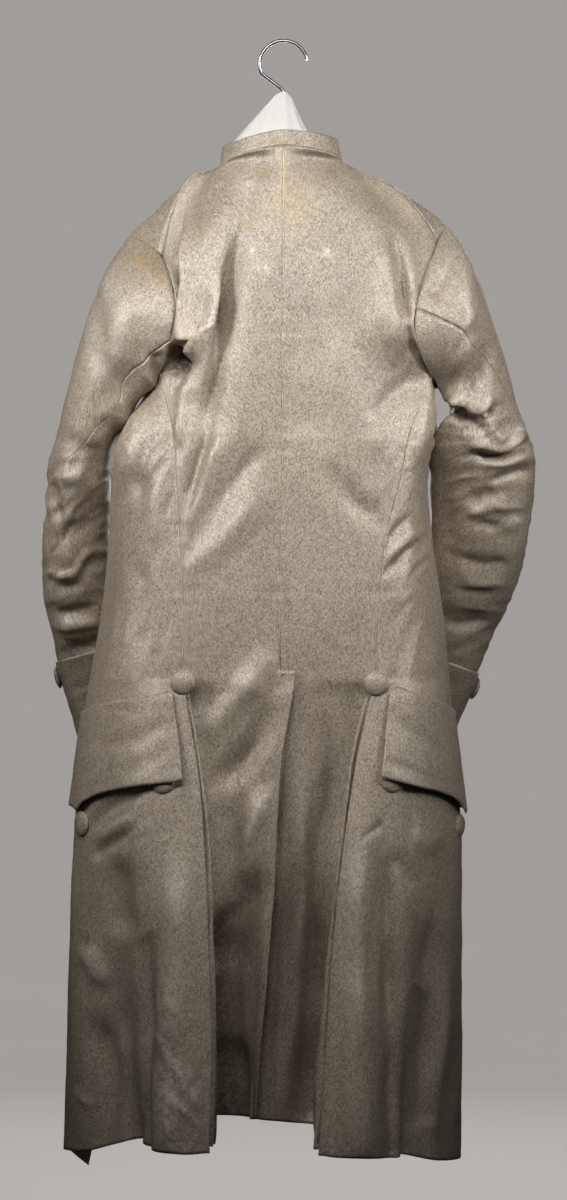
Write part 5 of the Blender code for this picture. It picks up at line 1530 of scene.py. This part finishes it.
def hanger_cloth():
    """The white cloth tied in under the hook, spreading over the padding like a tent."""
    rings = across(TENT, np.linspace(0, len(TENT) - 1, TENT_RINGS))
    turns = np.linspace(0, 2 * math.pi, TENT_TURNS + 1)
    rows = []
    for z, x_left, x_right, half_depth, drop in rings:
        middle, half_width = (x_left + x_right) / 2, (x_right - x_left) / 2
        y_middle = TENT_Y * (z - TENT[0][0]) / (TENT[-1][0] - TENT[0][0])
        fold = 1 + TENT_FOLD * np.sin(turns * 9) + TENT_RIPPLE * np.sin(turns * 5 + 1)
        rows.append(np.column_stack([middle + half_width * fold * np.cos(turns),
                                     y_middle + half_depth * fold * np.sin(turns),
                                     z - drop * np.sin(turns) ** 2]))
    grid = np.array(rows)
    far = np.full(grid.shape[:2], FAR)
    made = piece("pad_wrap", grid, True, (cotton,), WALL, far, far, loop=True)
    return settle(made, "white_cotton", "hanger_cloth")


def camera():
    """The camera behind the coat, level with the middle of the picture."""
    data = bpy.data.cameras.new("camera")
    data.sensor_fit = "AUTO"
    data.sensor_width = SENSOR
    data.lens = SENSOR * CAMERA_DISTANCE / (PICTURE_HEIGHT * PIXEL_AT_HOOK)
    made = linked("camera", data)
    made.location = (0, -CAMERA_DISTANCE * MM, CAMERA_HEIGHT * MM)
    made.rotation_euler = (math.radians(90), 0, 0)
    bpy.context.scene.camera = made


FLOOR = -1500.0
STUDIO_RADIUS = 11000.0
STUDIO_SWEEP = 3500.0
STUDIO_HEIGHT = 9000.0
SWEEP_STEPS = 16
STUDIO_TURNS = 96


def studio():
    """A pale floor that sweeps up to a plain wall, all round and far away."""
    profile = [(0, FLOOR), (STUDIO_RADIUS - STUDIO_SWEEP, FLOOR)]
    for step in range(1, SWEEP_STEPS + 1):
        turn = math.radians(90 * step / SWEEP_STEPS)
        profile.append((STUDIO_RADIUS - STUDIO_SWEEP + STUDIO_SWEEP * math.sin(turn),
                        FLOOR + STUDIO_SWEEP * (1 - math.cos(turn))))
    profile.append((STUDIO_RADIUS, FLOOR + STUDIO_HEIGHT))
    points = []
    for radius, height in profile:
        for step in range(STUDIO_TURNS):
            turn = 2 * math.pi * step / STUDIO_TURNS
            points.append((radius * math.cos(turn) * MM, radius * math.sin(turn) * MM, height * MM))
    mesh = bpy.data.meshes.new("studio")
    mesh.from_pydata(points, [], ring_faces(len(profile), STUDIO_TURNS, inward=True))
    mesh.shade_smooth()
    mesh.materials.append(studio_material())
    made = linked("studio", mesh)
    made.visible_shadow = False
    made.visible_diffuse = False
    made.visible_glossy = False


# Lights. Columns: place, aim, width, height, power, spread in degrees, colour
LIGHTS = {
    "key": ((-140, -1250, 400), (0, -60, -410), 1000, 400, 2.4, 70, (1.0, 0.985, 0.96)),
    "left": ((-1250, -900, 300), (-60, 0, -270), 500, 800, 1.7, 50, (1.0, 0.985, 0.96)),
    "right": ((1250, -900, 300), (60, 0, -270), 500, 800, 1.7, 50, (1.0, 0.985, 0.96)),
    "fill": ((900, -2600, -200), (0, 0, -500), 1800, 1800, 0.25, 180, (0.97, 0.98, 1.0)),
    "front": ((150, 2400, 100), (0, 0, -400), 1500, 1500, 34.0, 180, (1.0, 0.99, 0.97)),
}
WORLD_LIGHT = 0.010
WORLD_COLOR = (0.95, 0.97, 1.0, 1)


def lights():
    """A key from above behind the coat, a lamp at each side, a weak fill, and one in front."""
    for name, (place, aim, width, height, power, spread, color) in LIGHTS.items():
        data = bpy.data.lights.new(name, "AREA")
        data.shape = "ELLIPSE"
        data.size = width * MM
        data.size_y = height * MM
        data.energy = power
        data.spread = math.radians(spread)
        data.color = color
        made = linked(name, data)
        made.location = Vector(place) * MM
        made.rotation_mode = "QUATERNION"
        made.rotation_quaternion = (Vector(aim) - Vector(place)).to_track_quat("-Z", "Y")
    world = bpy.data.worlds.new("studio air")
    world.use_nodes = True
    background = world.node_tree.nodes["Background"].inputs
    background["Color"].default_value = WORLD_COLOR
    background["Strength"].default_value = WORLD_LIGHT
    bpy.context.scene.world = world


class Look:
    """A material whose nodes are made and linked one call each."""

    def __init__(self, name):
        self.made = bpy.data.materials.new(name)
        self.made.use_nodes = True
        self.tree = self.made.node_tree
        self.shader = self.tree.nodes["Principled BSDF"]

    def node(self, kind, inputs=None, **settings):
        """A node with its settings, and its inputs by name or number linked or set."""
        made = self.tree.nodes.new("ShaderNode" + kind)
        for key, value in settings.items():
            setattr(made, key, value)
        for key, value in (inputs or {}).items():
            self.feed(made.inputs[key], value)
        return made

    def feed(self, socket, value):
        """Links an output to a socket, or sets the socket's own value."""
        if isinstance(value, bpy.types.NodeSocket):
            self.tree.links.new(value, socket)
        elif isinstance(value, tuple) and len(value) == 3 and socket.type == "RGBA":
            socket.default_value = (*value, 1)
        else:
            socket.default_value = value

    def math(self, operation, *values):
        """The result of one sum on values or outputs."""
        return self.node("Math", dict(enumerate(values)), operation=operation).outputs[0]

    def blend(self, kind, share, under, over):
        """Two colours mixed by a share."""
        made = self.node("Mix", data_type="RGBA", blend_type=kind, clamp_factor=True)
        self.feed(made.inputs[0], share)
        self.feed(made.inputs[6], under)
        self.feed(made.inputs[7], over)
        return made.outputs[2]

    def spread(self, value, low, high, start=0.0, end=1.0):
        """A value stretched from one range to another, and kept inside it."""
        return self.node("MapRange", {0: value, 1: low, 2: high, 3: start, 4: end},
                         clamp=True).outputs[0]

    def mottle(self, vector, scale, detail=2.0, roughness=0.5, stretch=(1, 1, 1)):
        """Noise over a stretched vector."""
        placed = self.node("Mapping", {"Vector": vector, "Scale": stretch}).outputs[0]
        return self.node("TexNoise", {"Vector": placed, "Scale": scale, "Detail": detail,
                                      "Roughness": roughness}, noise_dimensions="3D").outputs[0]

    def relief(self, height, strength, distance):
        """A bump from a height, given to the shader."""
        made = self.node("Bump", {"Height": height, "Strength": strength, "Distance": distance})
        self.feed(self.shader.inputs["Normal"], made.outputs[0])

    def set(self, **values):
        """Sets or links the shader's own sockets."""
        for key, value in values.items():
            self.feed(self.shader.inputs[key.replace("_", " ")], value)


# Silk: the colours and gloss of its threads, of rubbed places with painted highlight on ridges, of
# stains, of soiled places with painted shade, and of its seams, the widths of a seam's thread and
# of the painted shade beside it, and the steps of the weave, in millimetres
LIGHT_THREAD = (0.61, 0.515, 0.40)
DARK_THREAD = (0.030, 0.022, 0.015)
LIGHT_GLOSS = (1.0, 0.96, 0.90)
DARK_GLOSS = (0.18, 0.17, 0.16)
PALE_RUB_AND_HIGHLIGHT = (0.80, 0.73, 0.62)
YELLOW_STAIN = (0.42, 0.27, 0.10)
# Soil, and painted shade in troughs, pits and beside seams
SOIL_AND_SHADE = (0.06, 0.047, 0.030)
SEAM_THREAD = (0.66, 0.57, 0.43)
SEAM_THREAD_WIDTH = 0.4
SEAM_SHADE_WIDTH = 1.2
THREAD_STEP = (1.3, 0.95, 1.0)
TWILL_WIDTH = 2.6
TWILL_SLOPE = 1.3


def weave_flecks(look, uv):
    """The fine zigzag flecks of the silk's warp and weft, from 0 to 1."""
    parts = look.node("SeparateXYZ", {0: uv})
    folded = look.math("PINGPONG", parts.outputs[0], TWILL_WIDTH)
    zigzag = look.math("MULTIPLY", folded, TWILL_SLOPE)
    slid = look.math("ADD", parts.outputs[1], zigzag)
    twill = look.node("CombineXYZ", {0: parts.outputs[0], 1: slid}).outputs[0]
    cell = look.node("VectorMath", {0: twill, 1: THREAD_STEP}, operation="SNAP").outputs[0]
    threads = look.node("TexWhiteNoise", {"Vector": cell}, noise_dimensions="2D").outputs["Value"]
    coarse = look.mottle(twill, 1.0, 1.0, 0.5, (0.85, 1.4, 1))
    coarse = look.spread(coarse, 0.36, 0.64)
    return look.math("ADD", look.math("MULTIPLY", threads, 0.5), look.math("MULTIPLY", coarse, 0.5))


def silk_material(name, sewn=True):
    """Worn greige silk twill with flecks, slow uneven tone, stains, ridges rubbed and given a
    painted highlight, soil and painted shade in troughs and pits, and seams with painted shade
    beside them.
    """
    look = Look(name)
    uv = look.node("UVMap", uv_map="weave").outputs[0]
    place = look.node("TexCoord").outputs["Object"]
    flecks = weave_flecks(look, uv)
    color = look.blend("MIX", flecks, DARK_THREAD, LIGHT_THREAD)
    gloss = look.blend("MIX", flecks, DARK_GLOSS, LIGHT_GLOSS)
    slow = look.mottle(place, 9.0, 3.0, 0.55, (1.0, 1.0, 0.45))
    grey = {index: look.spread(slow, 0.3, 0.7, 0.86, 1.12) for index in range(3)}
    color = look.blend("MULTIPLY", 1.0, color, look.node("CombineColor", grey).outputs[0])
    if sewn:
        depths = look.node("Attribute", attribute_name="marks").outputs["Color"]
        marks = look.node("SeparateColor", {0: depths}).outputs
        broken = look.spread(look.mottle(place, 170.0, 5.0, 0.72), 0.40, 0.60, 0.0, 1.5)
        # Pale rubs with a painted highlight on ridges, yellow stains, and soil with painted shade
        # in troughs and pits
        for value, tint, most in ((marks[0], PALE_RUB_AND_HIGHLIGHT, 0.55), (marks[1], YELLOW_STAIN, 0.62),
                                  (marks[2], SOIL_AND_SHADE, 0.72)):
            share = look.math("MULTIPLY", look.math("MULTIPLY", value, broken), most)
            color = look.blend("MIX", look.math("MINIMUM", share, 0.8), color, tint)
        # The gloss dims where soil and painted shade lie
        gloss = look.blend("MIX", look.math("MINIMUM", share, 0.9), gloss, DARK_GLOSS)
        seam_map = look.node("UVMap", uv_map="seams").outputs[0]
        seams = look.node("SeparateXYZ", {0: seam_map}).outputs
        away = look.math("MINIMUM", seams[0], seams[1])
        # Painted shade beside each seam
        shade = look.spread(away, SEAM_THREAD_WIDTH, SEAM_SHADE_WIDTH, 0.3, 0.0)
        color = look.blend("MIX", shade, color, SOIL_AND_SHADE)
        thread = look.spread(away, SEAM_THREAD_WIDTH * 0.7, SEAM_THREAD_WIDTH, 1.0, 0.0)
        dashes = look.spread(look.mottle(place, 260.0, 2.0), 0.36, 0.52, 0.25, 1.0)
        color = look.blend("MIX", look.math("MULTIPLY", thread, dashes), color, SEAM_THREAD)
    look.set(Base_Color=color, Roughness=look.spread(flecks, 0.0, 1.0, 0.56, 0.44), IOR=2.0,
             Specular_IOR_Level=0.85, Specular_Tint=gloss)
    look.relief(flecks, 0.35, 0.0002)
    return look.made


def lining_material():
    """Plain tan silk, slightly uneven."""
    look = Look("tan lining")
    place = look.node("TexCoord").outputs["Object"]
    threads = look.mottle(place, 900.0, 1.0, 0.5, (1.0, 1.0, 0.4))
    slow = look.mottle(place, 12.0, 3.0)
    color = look.blend("MIX", look.spread(threads, 0.3, 0.7),
                       (0.36, 0.25, 0.145), (0.52, 0.385, 0.245))
    color = look.blend("MULTIPLY", look.spread(slow, 0.35, 0.7, 0.0, 0.6), color, (0.72, 0.66, 0.6))
    look.set(Base_Color=color, Roughness=0.55, Sheen_Weight=0.15)
    look.relief(threads, 0.2, 0.0002)
    return look.made


def thread_material():
    """Brown sewing thread."""
    look = Look("brown thread")
    twist = look.mottle(look.node("TexCoord").outputs["Object"], 900.0)
    color = look.blend("MIX", look.spread(twist, 0.3, 0.7),
                       (0.045, 0.030, 0.026), (0.10, 0.07, 0.055))
    look.set(Base_Color=color, Roughness=0.6)
    return look.made


def cotton_material():
    """Plain white cotton with a fine weave."""
    look = Look("white cotton")
    place = look.node("TexCoord").outputs["Object"]
    weave = look.mottle(place, 1400.0, 1.0)
    slow = look.mottle(place, 20.0, 3.0)
    color = look.blend("MIX", look.spread(weave, 0.3, 0.7),
                       (0.60, 0.585, 0.57), (0.72, 0.71, 0.695))
    color = look.blend("MULTIPLY", look.spread(slow, 0.4, 0.7, 0.0, 0.5), color, (0.86, 0.84, 0.82))
    look.set(Base_Color=color, Roughness=0.9, Sheen_Weight=0.2)
    look.relief(weave, 0.3, 0.0002)
    return look.made


def wire_material():
    """Bright plated wire with faint drawing marks."""
    look = Look("bright wire")
    place = look.node("TexCoord").outputs["Object"]
    marks = look.mottle(place, 300.0, 3.0, 0.6)
    color = look.blend("MIX", look.spread(marks, 0.3, 0.7), (0.26, 0.26, 0.28), (0.42, 0.42, 0.44))
    look.set(Base_Color=color, Roughness=look.spread(marks, 0.3, 0.7, 0.10, 0.2), Metallic=1.0)
    return look.made


def studio_material():
    """The floor's pale matt paper."""
    look = Look("studio paper")
    place = look.node("TexCoord").outputs["Object"]
    grain = look.mottle(place, 3.0, 4.0)
    color = look.blend("MIX", grain, (0.17, 0.163, 0.159), (0.18, 0.173, 0.168))
    look.set(Base_Color=color, Roughness=0.95, Emission_Color=color, Emission_Strength=2.0)
    return look.made


silk = silk_material("worn silk")
button_silk = silk_material("button silk", sewn=False)
lining = lining_material()
thread = thread_material()
cotton = cotton_material()
steel = wire_material()

camera()
for side in SIDES:
    back_panel(side)
    front_panel(side)
    sleeve(side)
    cuff(side)
    flap(side)
collar_piece()
button_nodes = sorted(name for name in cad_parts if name.startswith("button_"))
for number, node in enumerate(button_nodes):
    button(node, number)
hanger_hook()
hanger_pad()
hanger_cloth()
studio()
lights()

bpy.context.scene.view_settings.view_transform = "Standard"
